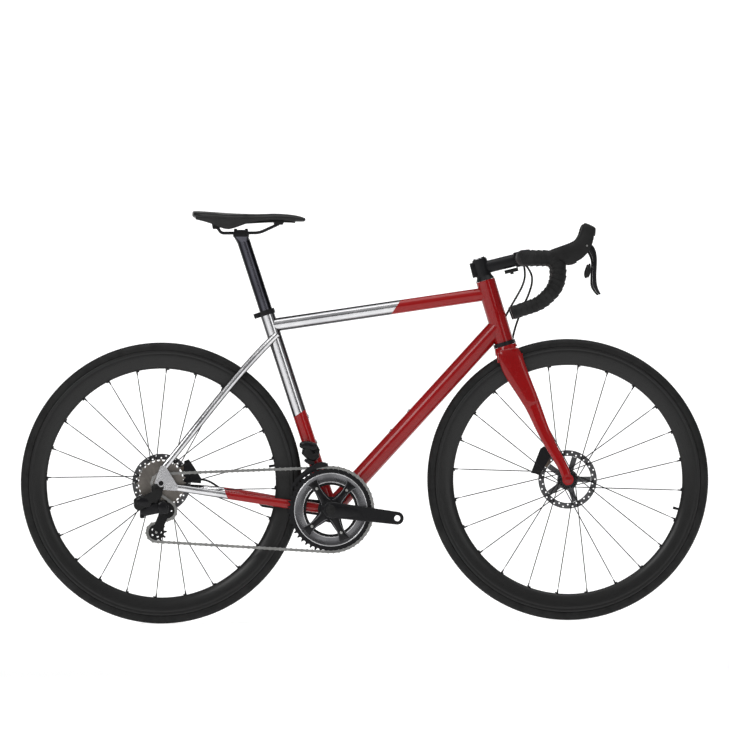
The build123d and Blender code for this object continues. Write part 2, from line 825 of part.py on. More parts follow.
def brake_pad(centre, rotor_y, side, angle):
    """Friction block on its backing plate; it stands pad_gap clear of the rotor."""
    y0 = rotor_y + side * (rotor_thickness / 2 + pad_gap)
    plane = Plane(origin=(centre.X, y0, centre.Z), x_dir=direction(angle), z_dir=(0, side, 0))
    with BuildPart() as pad:
        with BuildSketch(plane):
            RectangleRounded(pad_height, pad_length, 3.0)
        extrude(amount=pad_thickness)
    return pad.part


save(brake_pad(front_pad_centre, front_rotor_y, 1, front_pad_angle), "front_pad_left")
save(brake_pad(front_pad_centre, front_rotor_y, -1, front_pad_angle), "front_pad_right")
save(brake_pad(rear_pad_centre, rear_rotor_y, 1, rear_pad_angle), "rear_pad_left")
save(brake_pad(rear_pad_centre, rear_rotor_y, -1, rear_pad_angle), "rear_pad_right")

# ---------------------------------------------------------------- wheels


def rim(hub):
    """Deep rim, hollow between its tyre bed and its inner nose."""
    half = rim_width / 2
    with BuildPart() as part:
        with BuildSketch(radial_plane(hub)):
            with BuildLine():
                bead = Line((-half + 1, rim_outer_radius), (half - 1, rim_outer_radius))
                right = Line(bead @ 1, (half, rim_outer_radius - 8))
                wall_right = ThreePointArc(
                    right @ 1, (half - 2.4, rim_inner_radius + 18), (2.5, rim_inner_radius),
                )
                nose = Line(wall_right @ 1, (-2.5, rim_inner_radius))
                wall_left = ThreePointArc(
                    nose @ 1, (-half + 2.4, rim_inner_radius + 18), (-half, rim_outer_radius - 8),
                )
                Line(wall_left @ 1, bead @ 0)
            make_face()
            with BuildLine():
                inner = half - rim_wall
                Polyline(
                    (-inner, rim_outer_radius - 9), (inner, rim_outer_radius - 9),
                    (inner - 1.5, rim_inner_radius + 20), (2.0, rim_inner_radius + 4),
                    (-2.0, rim_inner_radius + 4), (-inner + 1.5, rim_inner_radius + 20), close=True,
                )
            make_face(mode=Mode.SUBTRACT)
        revolve(axis=wheel_axis(hub))
    return part.part


def tyre(hub):
    """Open clincher casing standing on the rim."""
    half = tyre_width / 2
    with BuildPart() as part:
        with BuildSketch(radial_plane(hub)):
            with Locations((0, tyre_radius - half)):
                Circle(half)
                Circle(half - tyre_wall, mode=Mode.SUBTRACT)
            with Locations((0, rim_outer_radius - half)):
                Rectangle(2 * tyre_width, tyre_width, mode=Mode.SUBTRACT)
        revolve(axis=wheel_axis(hub))
    return part.part


def spokes(hub, flanges, first_angle, rim_y):
    """Crossed spokes; they alternate between the two flanges at even steps round the rim.
    Every second spoke of a flange leads and the others trail, each on its own side."""
    step = 360.0 / spoke_count
    cross_angle = 60.0
    elbow_offset = 1.3
    result = []
    for k in range(spoke_count):
        flange_y, flange_radius = flanges[k % 2]
        lead = 1 if (k // 2) % 2 == 0 else -1
        rim_angle = first_angle + k * step
        hub_angle = rim_angle + lead * cross_angle
        start = hub + direction(hub_angle) * flange_radius + Vector(
            0, flange_y + lead * elbow_offset, 0,
        )
        side = 1 if flange_y > 0 else -1
        end = hub + direction(rim_angle) * (rim_inner_radius - 0.2) + Vector(
            0, side * rim_y + lead * 0.9, 0,
        )
        result.append(rod(start, end, spoke_radius))
    return result


def hub_shell(hub, profile, bore):
    """Turned hub body; profile is a list of (y, radius) steps."""
    with BuildPart() as part:
        with BuildSketch(radial_plane(hub)):
            with BuildLine():
                points = [(profile[0][0], bore)] + profile + [(profile[-1][0], bore)]
                Polyline(*points, close=True)
            make_face()
        revolve(axis=wheel_axis(hub))
    return part.part


def rotor(hub, y, bore_radius):
    """Brake rotor: slotted steel ring on a five-armed carrier with a lockring."""
    ring_inner = rotor_radius - rotor_ring_width
    carrier_outer = ring_inner + 2.0
    with BuildPart() as ring:
        with BuildSketch(facing_plane(hub, y - rotor_thickness / 2)):
            Circle(rotor_radius)
            Circle(ring_inner, mode=Mode.SUBTRACT)
            with PolarLocations(rotor_radius - 0.32 * rotor_ring_width, rotor_holes):
                Circle(rotor_hole_radius, mode=Mode.SUBTRACT)
            with PolarLocations(
                rotor_radius - 0.7 * rotor_ring_width, rotor_holes, start_angle=180 / rotor_holes,
            ):
                Circle(rotor_hole_radius, mode=Mode.SUBTRACT)
        extrude(amount=rotor_thickness)
    with BuildPart() as carrier:
        with BuildSketch(facing_plane(hub, y - carrier_thickness / 2)):
            Circle(25.0)
            with PolarLocations(21.0, rotor_arms):
                with Locations((carrier_outer / 2 - 13.0, 0)):
                    Rectangle(carrier_outer - 21.0, rotor_arm_width)
            Circle(bore_radius, mode=Mode.SUBTRACT)
        extrude(amount=carrier_thickness)
    arms = carrier.part & disc(hub, ring_inner, y - carrier_thickness, y + carrier_thickness)
    lockring_y0 = y + carrier_thickness / 2
    lockring = disc(hub, bore_radius + 4.0, lockring_y0, lockring_y0 + 2.2)
    lockring = lockring - disc(hub, bore_radius, lockring_y0 - 1.0, lockring_y0 + 3.0)
    return Compound(children=[ring.part.solids()[0], arms.solids()[0], lockring.solids()[0]])


rotor_mount_radius = 17.0
flange_hole_radius = 20.0
front_flanges = [(-32.0, flange_hole_radius), (22.0, flange_hole_radius)]
rear_flanges = [(-19.0, flange_hole_radius), (30.0, flange_hole_radius)]
axle_bore = axle_diameter / 2 + running_clearance
front_end = front_axle_spacing / 2 - side_clearance
front_profile = [
    (-front_end, 9.0), (-38.0, 9.0), (-38.0, 14.0), (-36.0, 17.5), (-28.0, 17.5), (-24.0, 11.5),
    (14.0, 11.5), (18.0, 17.5), (26.0, 17.5), (27.0, rotor_mount_radius),
    (front_rotor_y + 1.2, rotor_mount_radius), (front_rotor_y + 1.2, 16.0),
    (front_rotor_y + 4.0, 16.0), (front_rotor_y + 4.0, 9.0), (front_end, 9.0),
]
rear_end = rear_axle_spacing / 2 - side_clearance
freehub_inner_y = first_cog_y + (len(cog_teeth) - 1) * cog_spacing + 2.0
rear_profile = [
    (freehub_inner_y + side_clearance, 14.0), (-23.0, 17.5), (-15.0, 17.5), (-11.0, 13.0), (22.0, 13.0),
    (26.0, 17.5), (34.0, 17.5), (36.0, rotor_mount_radius), (rear_rotor_y + 1.2, rotor_mount_radius),
    (rear_rotor_y + 1.2, 16.0), (rear_rotor_y + 4.0, 16.0), (rear_rotor_y + 4.0, 9.0), (rear_end, 9.0),
]
front_hub_body = hub_shell(front_hub, front_profile, axle_bore)
rear_hub_body = hub_shell(rear_hub, rear_profile, axle_bore)


def wheel_parts(prefix, hub, hub_body, flanges, first_angle, rotor_y):
    """All parts of one wheel at its hub."""
    save(rim(hub), prefix + "_rim")
    save(tyre(hub), prefix + "_tyre")
    spoke_list = [s - hub_body for s in spokes(hub, flanges, first_angle, 2.2)]
    save(
        Compound(children=[s.solids().sort_by(SortBy.VOLUME)[-1] for s in spoke_list]),
        prefix + "_spokes",
    )
    save(hub_body, prefix + "_hub")
    save(rotor(hub, rotor_y, rotor_mount_radius), prefix + "_rotor")


wheel_parts("front", front_hub, front_hub_body, front_flanges, 90.0 - 5.8, front_rotor_y)
wheel_parts("rear", rear_hub, rear_hub_body, rear_flanges, 90.0 - 3.2, rear_rotor_y)

# ---------------------------------------------------------------- seatpost, clamp and saddle
post_top = seat_tube_top + seat_up * seatpost_above_tube
post_bottom = seat_tube_top - seat_up * seatpost_inserted
head_block = Vector(post_top.X - 2.0, 0, 932.0)
rail_y = 22.0
rail_radius = 3.5
rail_z = 932.0
with BuildPart() as seatpost:
    with BuildSketch(across(post_bottom, seat_up)):
        Circle(seatpost_od / 2)
        Circle(seatpost_od / 2 - 1.8, mode=Mode.SUBTRACT)
    extrude(amount=seatpost_above_tube + seatpost_inserted - 14.0)
    with BuildSketch(across(post_top - seat_up * 14.0, seat_up)):
        Circle(seatpost_od / 2)
    with BuildSketch(Plane.XY.offset(rail_z - 9.0)):
        with Locations((head_block.X, 0)):
            RectangleRounded(36.0, 34.0, 6.0)
    loft()
save(seatpost.part, "seatpost")

with BuildPart() as cradle:
    with BuildSketch(Plane.XY.offset(rail_z - 9.0)):
        with Locations((head_block.X, 0)):
            RectangleRounded(38.0, 54.0, 5.0)
    extrude(amount=8.6)
with BuildPart() as upper_clamp:
    with BuildSketch(Plane.XY.offset(rail_z + 0.4)):
        with Locations((head_block.X, 0)):
            RectangleRounded(34.0, 54.0, 5.0)
    extrude(amount=7.0)
rail_route = [
    (-348.0, rail_y + 14.0, 948.0),
    (-337.0, rail_y, rail_z),
    (-246.0, rail_y, rail_z),
    (-200.0, rail_y - 12.0, 952.5),
]
rail_left = pipe(rail_route, [12.0, 45.0], rail_radius)
rail_right = rail_left.mirror(Plane.XZ)
cradle_body = cradle.part - rail_left - rail_right
upper_body = upper_clamp.part - rail_left - rail_right
clamp_bolt_set = []
for x in (-13.0, 13.0):
    bolt_x = head_block.X + x
    clamp_bolt_set.append(rod((bolt_x, 0, rail_z + 7.4), (bolt_x, 0, rail_z + 10.4), 3.6))
save(Compound(children=[cradle_body, upper_body] + clamp_bolt_set), "seatpost_clamp")
save(Compound(children=[rail_left, rail_right]), "saddle_rails")

# saddle sections, rear to nose: x, half width, top z, bottom z
saddle_sections = [
    (-403.0, 48.0, 984.5, 969.5),
    (-380.0, 66.0, 983.0, 964.0),
    (-345.0, 71.5, 980.5, 960.0),
    (-300.0, 60.0, 977.5, 957.0),
    (-255.0, 37.0, 976.0, 958.0),
    (-205.0, 23.0, 977.0, 959.5),
    (-160.0, 18.5, 973.0, 957.5),
    (-138.0, 13.0, 967.0, 957.5),
]
shell_thickness = 3.0
with BuildPart() as saddle_padding:
    for x, half, top, bottom in saddle_sections:
        with BuildSketch(radial_plane((x, 0, (top + bottom) / 2))):
            RectangleRounded(2 * half, top - bottom, (top - bottom) * 0.42)
    loft()
with BuildPart() as saddle_shell:
    for x, half, top, bottom in saddle_sections[1:-1]:
        with BuildSketch(radial_plane((x, 0, bottom - shell_thickness / 2))):
            Rectangle(2 * half - 16.0, shell_thickness)
    loft()
rail_holder = side_shape(
    [(-357.0, 942.0), (-341.0, 942.0), (-336.0, 958.0), (-360.0, 958.0)], -46.0, 46.0,
)
nose_holder = side_shape(
    [(-211.0, 950.0), (-190.0, 951.0), (-186.0, 958.0), (-212.0, 958.0)], -14.5, 14.5,
)
shell_body = saddle_shell.part + rail_holder + nose_holder
shell_body = shell_body - saddle_padding.part - rail_left - rail_right
save(saddle_padding.part, "saddle_padding")
save(shell_body.solids().sort_by(SortBy.VOLUME)[-1], "saddle_shell")

# ---------------------------------------------------------------- seat clamp
clamp_height = 12.0
clamp_wall = 3.0
clamp_base = seat_tube_top - seat_up * (clamp_height - 2.0)
with BuildPart() as seat_clamp:
    with BuildSketch(across(clamp_base, seat_up)):
        Circle(seat_tube_od / 2 + clamp_wall)
        with Locations((-seat_tube_od / 2 - clamp_wall - 3.0, 0)):
            RectangleRounded(18.0, 13.0, 2.0)
    extrude(amount=clamp_height)
    with BuildSketch(across(clamp_base, seat_up)):
        with Locations((-seat_tube_od / 2 - clamp_wall - 3.0, 0)):
            Rectangle(24.0, 1.2)
    extrude(amount=clamp_height, mode=Mode.SUBTRACT)
clamp_bore = rod(clamp_base - seat_up, seat_tube_top, seat_tube_od / 2)
clamp_lip = rod(seat_tube_top, seat_tube_top + seat_up * 5.0, seatpost_od / 2 + 0.3)
clamp_body = seat_clamp.part - clamp_bore - clamp_lip
save(clamp_body.solids().sort_by(SortBy.VOLUME)[-1], "seat_clamp")

# ---------------------------------------------------------------- cranks
crank_forward = direction(crank_angle)
pedal_right = bb + crank_forward * crank_length
pedal_left = bb - crank_forward * crank_length
spider_inner_y = small_ring_y - ring_thickness / 2
spider_outer_y = big_ring_y + ring_thickness / 2
arm_inner_y = pedal_face_y - 13.0
arm_root_radius = 19.0
arm_tip_radius = 15.5
spider_angles = [58.0, 131.0, 229.0, 302.0]
boss_radius = 24.0
spider_core_radius = 31.0
spider_tip_radius = 8.5
bolt_radius = 4.2


def arm_solid(pedal_centre, side):
    """Forged arm: a tapered plate with a boss at the axle and a threaded pedal eye."""
    y_out = side * pedal_face_y
    with BuildPart() as arm:
        with BuildSketch(Plane(origin=(0, y_out, 0), x_dir=(1, 0, 0), z_dir=(0, -1, 0))):
            with BuildSketch(mode=Mode.PRIVATE) as outline:
                with Locations((bb.X, bb.Z)):
                    Circle(arm_root_radius)
                with Locations((pedal_centre.X, pedal_centre.Z)):
                    Circle(arm_tip_radius)
            make_hull(outline.sketch.edges())
        extrude(amount=side * (pedal_face_y - arm_inner_y))
        fillet(arm.faces().sort_by(Axis.Y)[-1 if side > 0 else 0].edges(), radius=3.0)
    return arm.part


right_arm = arm_solid(pedal_right, -1)
cup_face_y = bb_shell_width / 2 + bb_cup_width + side_clearance
right_boss = disc(bb, boss_radius, -arm_inner_y - 1.0, -cup_face_y)
with BuildPart() as spider:
    with BuildSketch(Plane(origin=(0, spider_outer_y, 0), x_dir=(1, 0, 0), z_dir=(0, 1, 0))):
        for angle in spider_angles:
            with BuildSketch(mode=Mode.PRIVATE) as spider_arm:
                tip = bb + direction(crank_angle + angle) * bolt_circle_radius
                with Locations((bb.X, -bb.Z)):
                    Circle(boss_radius - 6.0)
                with Locations((tip.X, -tip.Z)):
                    Circle(spider_tip_radius)
            make_hull(spider_arm.sketch.edges())
        with Locations((bb.X, -bb.Z)):
            Circle(spider_core_radius)
            Circle(boss_radius, mode=Mode.SUBTRACT)
    extrude(amount=spider_inner_y - spider_outer_y)
ring_bolts = []
ring_bolt_outer_y = big_ring_y - ring_thickness / 2 - 1.2
ring_bolt_inner_y = small_ring_y + ring_thickness / 2 + 1.0
for angle in spider_angles:
    tip = bb + direction(crank_angle + angle) * bolt_circle_radius
    ring_bolts.append(disc(tip, bolt_radius, ring_bolt_outer_y, ring_bolt_inner_y))
axle_solid = disc(bb, axle_od / 2, -arm_inner_y - 1.0, pedal_face_y - 3.0)
pedal_hole_right = disc(pedal_right, pedal_thread_radius, -90, -40)
pedal_hole_left = disc(pedal_left, pedal_thread_radius, 40, 90)
crank_right = right_arm + right_boss - axle_solid - pedal_hole_right
spider_body = spider.part
for bolt in ring_bolts:
    spider_body = spider_body - bolt
left_boss = disc(bb, 18.0, cup_face_y, arm_inner_y + 1.0)
crank_left = arm_solid(pedal_left, 1) + left_boss - axle_solid - pedal_hole_left
crank_right_body = crank_right.solids().sort_by(SortBy.VOLUME)[-1]
save(Compound(children=[crank_right_body, spider_body.solids()[0], axle_solid]), "crank_arm_right")
save(crank_left.solids().sort_by(SortBy.VOLUME)[-1], "crank_arm_left")

# ---------------------------------------------------------------- chain path
half_pitch = chain_pitch / 2


def pitch_radius(teeth):
    """Radius at which the chain pins lie on a sprocket."""
    return half_pitch / math.sin(math.pi / teeth)


cage_pivot = Vector(-480.0, 0, 269.0)
guide_centre = Vector(-472.6, 0, 270.4)
tension_centre = Vector(-498.04, 0, 219.14)
wraps = [
    (bb, big_ring_teeth, 1, big_ring_y),
    (rear_hub, cog_teeth[0], 1, first_cog_y),
    (guide_centre, pulley_teeth, -1, first_cog_y),
    (tension_centre, pulley_teeth, 1, first_cog_y),
]


def tangent(first, second):
    """Straight run between two toothed wheels: heading, start point, end point."""
    p, teeth_p, turn_p, _ = first
    q, teeth_q, turn_q, _ = second
    gap = q - p
    span = math.hypot(gap.X, gap.Z)
    rp = turn_p * pitch_radius(teeth_p)
    rq = turn_q * pitch_radius(teeth_q)
    heading = math.atan2(gap.Z, gap.X) + math.asin((rp - rq) / span)
    right = Vector(math.sin(heading), 0, -math.cos(heading))
    return heading, p + right * rp, q + right * rq


runs = [tangent(wraps[k], wraps[(k + 1) % len(wraps)]) for k in range(len(wraps))]
free_links = 6.0
ring_links = 4.0


def path_pieces():
    """Arcs and runs in order, each with its length in links."""
    pieces = []
    for k, (centre, teeth, turn, y) in enumerate(wraps):
        heading_in = runs[k - 1][0]
        heading_out, start, end = runs[k]
        sweep_angle = ((heading_out - heading_in) * turn) % (2 * math.pi)
        pieces.append(("arc", centre, teeth, turn, heading_in, sweep_angle / (2 * math.pi) * teeth, y))
        next_y = wraps[(k + 1) % len(wraps)][3]
        pieces.append(("run", start, end, y, next_y, (end - start).length / chain_pitch))
    return pieces


pieces = path_pieces()
path_links = sum(piece[5] for piece in pieces)
link_count = 2 * round(path_links / 2)


def chain_point(u):
    """Pin position at u links along the path from the start of the ring's arc."""
    for piece in pieces:
        if u <= piece[5]:
            break
        u -= piece[5]
    if piece[0] == "arc":
        _, centre, teeth, turn, heading, _, y = piece
        angle = heading + turn * u / teeth * 2 * math.pi
        right = Vector(math.sin(angle), 0, -math.cos(angle))
        return centre + right * (turn * pitch_radius(teeth)) + Vector(0, y, 0)
    _, start, end, y0, y1, length = piece
    lead_in = ring_links if y0 == big_ring_y else free_links
    lead_out = ring_links if y1 == big_ring_y else free_links
    share = 0.0
    if length > lead_in + lead_out:
        share = min(1.0, max(0.0, (u - lead_in) / (length - lead_in - lead_out)))
    smooth = share * share * (3 - 2 * share)
    return start + (end - start) * (u / length) + Vector(0, y0 + (y1 - y0) * smooth, 0)


pins = [chain_point(k * path_links / link_count) for k in range(link_count)]


def sprocket_phase(centre):
    """Angle of the first roller seated on a toothed wheel, in degrees."""
    arc = [k for k, piece in enumerate(pieces) if piece[0] == "arc" and piece[1] == centre][0]
    before = sum(piece[5] for piece in pieces[:arc])
    first = math.ceil(before * link_count / path_links)
    seated = pins[first % link_count]
    return math.degrees(math.atan2(seated.Z - centre.Z, seated.X - centre.X))


def toothed_wheel(centre, teeth, y, thickness, bore, phase, holes=0, hole_radius=0.0, hole_circle=0.0):
    """Sprocket whose tooth gaps fit the chain rollers; phase is the angle of one gap."""
    radius = pitch_radius(teeth)
    seat = roller_radius + roller_clearance
    gap_outline = [
        (0, -seat), (tooth_height + 1, -seat - tooth_taper), (tooth_height + 1, seat + tooth_taper),
        (0, seat),
    ]
    plane = Plane(origin=(centre.X, y + thickness / 2, centre.Z), x_dir=(1, 0, 0), z_dir=(0, -1, 0))
    with BuildPart() as wheel:
        with BuildSketch(plane):
            Circle(radius + tooth_height)
            with PolarLocations(radius, teeth, start_angle=phase):
                Circle(roller_radius + roller_clearance, mode=Mode.SUBTRACT)
                Polygon(*gap_outline, align=None, mode=Mode.SUBTRACT)
            Circle(bore, mode=Mode.SUBTRACT)
            if holes > 0:
                with PolarLocations(hole_circle, holes):
                    Circle(hole_radius, mode=Mode.SUBTRACT)
        extrude(amount=thickness)
    return wheel.part


# ---------------------------------------------------------------- chainrings
ring_phase = sprocket_phase(bb)


def chainring(teeth, y, rim_inner):
    """Toothed ring with four tabs that reach in to the spider bolts."""
    wheel = toothed_wheel(bb, teeth, y, ring_thickness, rim_inner, ring_phase)
    with BuildPart() as tabs:
        with BuildSketch(facing_plane(bb, y - ring_thickness / 2)):
            for angle in spider_angles:
                with Locations(Rotation(0, 0, -(crank_angle + angle))):
                    with Locations(((bolt_circle_radius + rim_inner) / 2, 0)):
                        Rectangle(rim_inner - bolt_circle_radius + 3.0, 18.0)
                    with Locations((bolt_circle_radius, 0)):
                        Circle(9.0)
                        Circle(bolt_radius, mode=Mode.SUBTRACT)
        extrude(amount=ring_thickness)
    return wheel + tabs.part


big_ring = chainring(big_ring_teeth, big_ring_y, 84.0)
small_ring = chainring(small_ring_teeth, small_ring_y, 59.0)
save(Compound(children=[big_ring.solids()[0], small_ring.solids()[0]] + ring_bolts), "chainrings")

# ---------------------------------------------------------------- cassette
cog_phase = sprocket_phase(rear_hub)
cogs = []
for k, teeth in enumerate(cog_teeth):
    y = first_cog_y + k * cog_spacing
    root = pitch_radius(teeth) - roller_radius
    hole_circle = (root + freehub_radius) / 2
    hole_radius = (root - freehub_radius) * cog_hole_share
    holes = cog_holes if hole_radius > smallest_cog_hole else 0
    cogs.append(toothed_wheel(
        rear_hub, teeth, y, sprocket_thickness, freehub_radius, cog_phase, holes, hole_radius,
        hole_circle,
    ))
freehub_y0 = first_cog_y - sprocket_thickness / 2 - 1.0
freehub = hub_shell(
    rear_hub,
    [(freehub_y0, freehub_radius), (freehub_inner_y, freehub_radius)],
    axle_bore,
)
spacers = []
for k in range(len(cog_teeth) - 1):
    y0 = first_cog_y + k * cog_spacing + sprocket_thickness / 2
    outer = min(pitch_radius(cog_teeth[k]) - roller_radius - roller_clearance - 0.4, 20.5)
    spacer = disc(rear_hub, outer, y0, y0 + cog_spacing - sprocket_thickness)
    spacers.append(spacer - disc(rear_hub, freehub_radius, y0 - 1, y0 + cog_spacing))
lockring_y0 = first_cog_y - sprocket_thickness / 2 - 2.0
lockring = disc(rear_hub, 17.5, lockring_y0, freehub_y0) - disc(rear_hub, 9.5, -80, -50)
save(
    Compound(
        children=[c.solids()[0] for c in cogs]
        + [freehub, lockring.solids()[0]]
        + [s.solids()[0] for s in spacers]
    ),
    "cassette",
)

# ---------------------------------------------------------------- chain links


def link_plane(a, b, lateral):
    """Plane of one side plate: x runs from pin to pin, the normal is across the chain."""
    run = (b - a).normalized()
    up = Vector(0, 1, 0).cross(run)
    normal = run.cross(up).normalized()
    return Plane(origin=(a + b) * 0.5 + normal * lateral, x_dir=run, z_dir=normal)


inner_face = chain_inner_width / 2
outer_face = inner_face + plate_thickness + 0.05
pin_radius = 1.8
master = {}
for kind, face in (("inner", inner_face), ("outer", outer_face)):
    link_half = face + plate_thickness
    with BuildPart() as link:
        for y in (face, -link_half):
            with BuildSketch(Plane.XY.offset(y)):
                with Locations((-half_pitch, 0), (half_pitch, 0)):
                    Circle(plate_half_height)
                Rectangle(chain_pitch, plate_half_height * 1.5)
                if kind == "inner":
                    with Locations((-half_pitch, 0), (half_pitch, 0)):
                        Circle(pin_radius + 0.05, mode=Mode.SUBTRACT)
            extrude(amount=plate_thickness)
        with BuildSketch(Plane.XY.offset(-link_half if kind == "outer" else -face)):
            with Locations((-half_pitch, 0), (half_pitch, 0)):
                Circle(pin_radius if kind == "outer" else roller_radius)
                if kind == "inner":
                    Circle(pin_radius + 0.05, mode=Mode.SUBTRACT)
        extrude(amount=2 * (link_half if kind == "outer" else face))
    master[kind] = link.part.solids()[0]
links = []
for k in range(link_count):
    kind = "inner" if k % 2 == 0 else "outer"
    plane = link_plane(pins[k], pins[(k + 1) % link_count], 0.0)
    links.append(plane.location * master[kind])
save(Compound(children=links), "chain")

# ---------------------------------------------------------------- front derailleur
cage_outer_y = big_ring_y - 6.6
cage_inner_y = big_ring_y + 6.6
cage_plate = 1.2
cage_ring_gap = 2.4
fd_body_outline = [
    (-150.0, 404.0), (-146.0, 424.0), (-134.0, 434.0), (-114.0, 428.0),
    (-106.0, 412.0), (-110.0, 393.0), (-136.0, 389.0),
]
with BuildPart() as fd_body:
    add(side_shape(fd_body_outline, -34.0, -12.0))
    chamfer(fd_body.faces().sort_by(Axis.Y)[0].edges(), length=2.5)
    add(seat_envelope, mode=Mode.SUBTRACT)
save(fd_body.part.solids().sort_by(SortBy.VOLUME)[-1], "front_derailleur_body")

ring_tip = pitch_radius(big_ring_teeth) + tooth_height
fd_plate_outline = [
    (-90.0, 368.0), (-92.0, 384.0), (-125.0, 387.0), (-160.0, 382.0),
    (-190.0, 373.0), (-191.0, 338.0), (-181.0, 323.0), (-150.0, 330.0),
]


def fd_plate(y0, y1):
    """Side plate of the front derailleur cage."""
    return side_shape(fd_plate_outline, y0, y1) - disc(bb, ring_tip + cage_ring_gap, -80, 0)


fd_outer = fd_plate(cage_outer_y - cage_plate, cage_outer_y)
fd_inner = fd_plate(cage_inner_y, cage_inner_y + cage_plate)
fd_web = side_shape(
    [(-145.0, 380.5), (-104.0, 382.0), (-104.0, 385.5), (-145.0, 384.5)], cage_outer_y - 0.5,
    cage_inner_y + 0.5,
)
fd_tail = disc(Vector(-184.0, 0, 340.0), 2.2, cage_outer_y - 0.5, cage_inner_y + 0.5)
fd_lug = side_shape([(-140.0, 383.0), (-116.0, 383.5), (-118.0, 408.0), (-136.0, 410.0)], -48.0, -42.0)
fd_cage = fd_outer + fd_inner + fd_web + fd_tail + fd_lug
save(fd_cage.solids()[0], "front_derailleur_cage")

# ---------------------------------------------------------------- rear derailleur
link_axis = Vector(0, 0.62, 0.7846)
link_far = Vector(-486.3, -84.0, 270.0)
link_near = Vector(-531.0, -72.7, 261.0)
link_pin_radius = 2.5
link_barrel_radius = 6.0
link_barrel_half = 6.0
hanger_bolt = Vector(-493.0, 0, 312.0)
motor_centre = Vector(-538.0, 0, 285.0)
motor_radius = 13.0


hanger = hull_plate(
    [(hanger_bolt, 8.0), (rear_hub + Vector(-2, 0, -9.0), 9.0)], -dropout_outer_y - 3.0,
    -dropout_outer_y,
)
hanger = hanger - disc(rear_hub, axle_diameter / 2 + 3.2, -100, -60)
b_knuckle = hull_plate(
    [(hanger_bolt, 11.0), (motor_centre, motor_radius)], -dropout_outer_y - 15.0,
    -dropout_outer_y - 3.0,
)
motor = disc(motor_centre, motor_radius, -dropout_outer_y - 15.0, -64.0)
near_pin = rod(link_near - link_axis * 8.0, link_near + link_axis * 16.0, link_pin_radius)
mount_solid = hanger + b_knuckle + motor + near_pin
save(mount_solid.solids().sort_by(SortBy.VOLUME)[-1], "rear_derailleur_mount")


def barrel(centre, radius, half):
    """Round barrel along the link axis, for a pivot."""
    return rod(centre - link_axis * half, centre + link_axis * half, radius)


pin_clear = link_pin_radius + running_clearance
link_body = (
    barrel(link_near, link_barrel_radius, link_barrel_half)
    + barrel(link_far, link_barrel_radius, link_barrel_half)
    + rod(link_near, link_far, 4.5)
    - barrel(link_near, pin_clear, 20.0)
    - barrel(link_far, pin_clear, 20.0)
)
save(link_body.solids()[0], "rear_derailleur_link")

cage_gap = side_clearance
rd_outer_y = first_cog_y - 5.5
rd_inner_y = first_cog_y + 5.5
knuckle_face_y = rd_outer_y - cage_plate - cage_gap
knuckle_block = hull_plate(
    [(cage_pivot, 12.0), (Vector(-486.3, 0, 279.0), 8.0)], knuckle_face_y - 3.5, knuckle_face_y,
)
far_pin = rod(link_far - link_axis * 8.0, link_far + link_axis * 15.0, link_pin_radius)
cage_pin = disc(cage_pivot, 3.0, knuckle_face_y - 1.0, rd_outer_y - 0.1)
knuckle = knuckle_block + far_pin + cage_pin
save(knuckle.solids().sort_by(SortBy.VOLUME)[-1], "rear_derailleur_knuckle")

pulley_axle_radius = 2.5


def rd_plate(y0, y1):
    """Side plate of the rear derailleur cage, with a hole between the pulleys."""
    plate = hull_plate([(guide_centre, 10.0), (tension_centre, 10.0)], y0, y1)
    middle = (guide_centre + tension_centre) * 0.5
    return plate - disc(middle, 6.5, y0 - 1, y1 + 1)


rd_outer = hull_plate(
    [(guide_centre, 10.0), (cage_pivot, 9.0), (tension_centre, 10.0)], rd_outer_y - cage_plate,
    rd_outer_y,
)
rd_outer = rd_outer - disc(cage_pivot, 3.0 + running_clearance, -90, -50)
rd_inner = rd_plate(rd_inner_y, rd_inner_y + cage_plate)
rd_axles = [
    disc(c, pulley_axle_radius, rd_outer_y - cage_plate, rd_inner_y + cage_plate)
    for c in (guide_centre, tension_centre)
]
for name, centre in (("guide_pulley", guide_centre), ("tension_pulley", tension_centre)):
    wheel = toothed_wheel(
        centre, pulley_teeth, first_cog_y, pulley_thickness,
        pulley_axle_radius + running_clearance, sprocket_phase(centre),
        pulley_holes, pulley_hole_radius, pulley_hole_circle,
    )
    save(wheel, name)
rd_cage = rd_outer + rd_inner + rd_axles[0] + rd_axles[1]
rd_cage = rd_cage - disc(cage_pivot, 3.0 + running_clearance, rd_outer_y - 5, rd_outer_y)
save(rd_cage.solids().sort_by(SortBy.VOLUME)[-1], "rear_derailleur_cage")

# ---------------------------------------------------------------- brake hoses
hose_radius = 2.5


def smooth_radii(points):
    """Largest even arcs for a hose: 0.45 of the shorter run over the tangent of half the turn."""
    radii = []
    for k in range(1, len(points) - 1):
        a = Vector(*points[k]) - Vector(*points[k - 1])
        b = Vector(*points[k + 1]) - Vector(*points[k])
        turn = math.radians(a.get_angle(b))
        radii.append(0.45 * min(a.length, b.length) / math.tan(turn / 2))
    return radii


rear_hose_route = [
    (385.0, -61.0, 849.0), (389.0, -54.0, 826.0), (382.0, -40.0, 800.0), (368.0, -24.0, 775.0),
    (354.0, -9.0, 752.0), (341.0, -1.0, 728.0), (335.0, 0.0, 716.0),
]
front_hose_route = [
    (
        390.0, 61.0, 850.5,
    ), (404.0, 57.0, 832.0), (406.0, 50.0, 808.0), (397.0, 41.0, 780.0), (384.0, 35.0, 752.0),
    (371.0, 32.0, 722.0), (361.0, 30.0, 692.0), (355.0, 28.5, 664.0), (353.0, 27.5, 640.0),
]
caliper_hose_route = [
    (
        -346.0, 54.5, 322.0,
    ), (-358.0, 56.0, 331.0), (-372.0, 57.0, 339.0), (-384.0, 56.5, 343.0), (-394.0, 55.7, 344.0),
]
rear_hose = pipe(rear_hose_route, smooth_radii(rear_hose_route), hose_radius)
front_hose = pipe(front_hose_route, smooth_radii(front_hose_route), hose_radius)
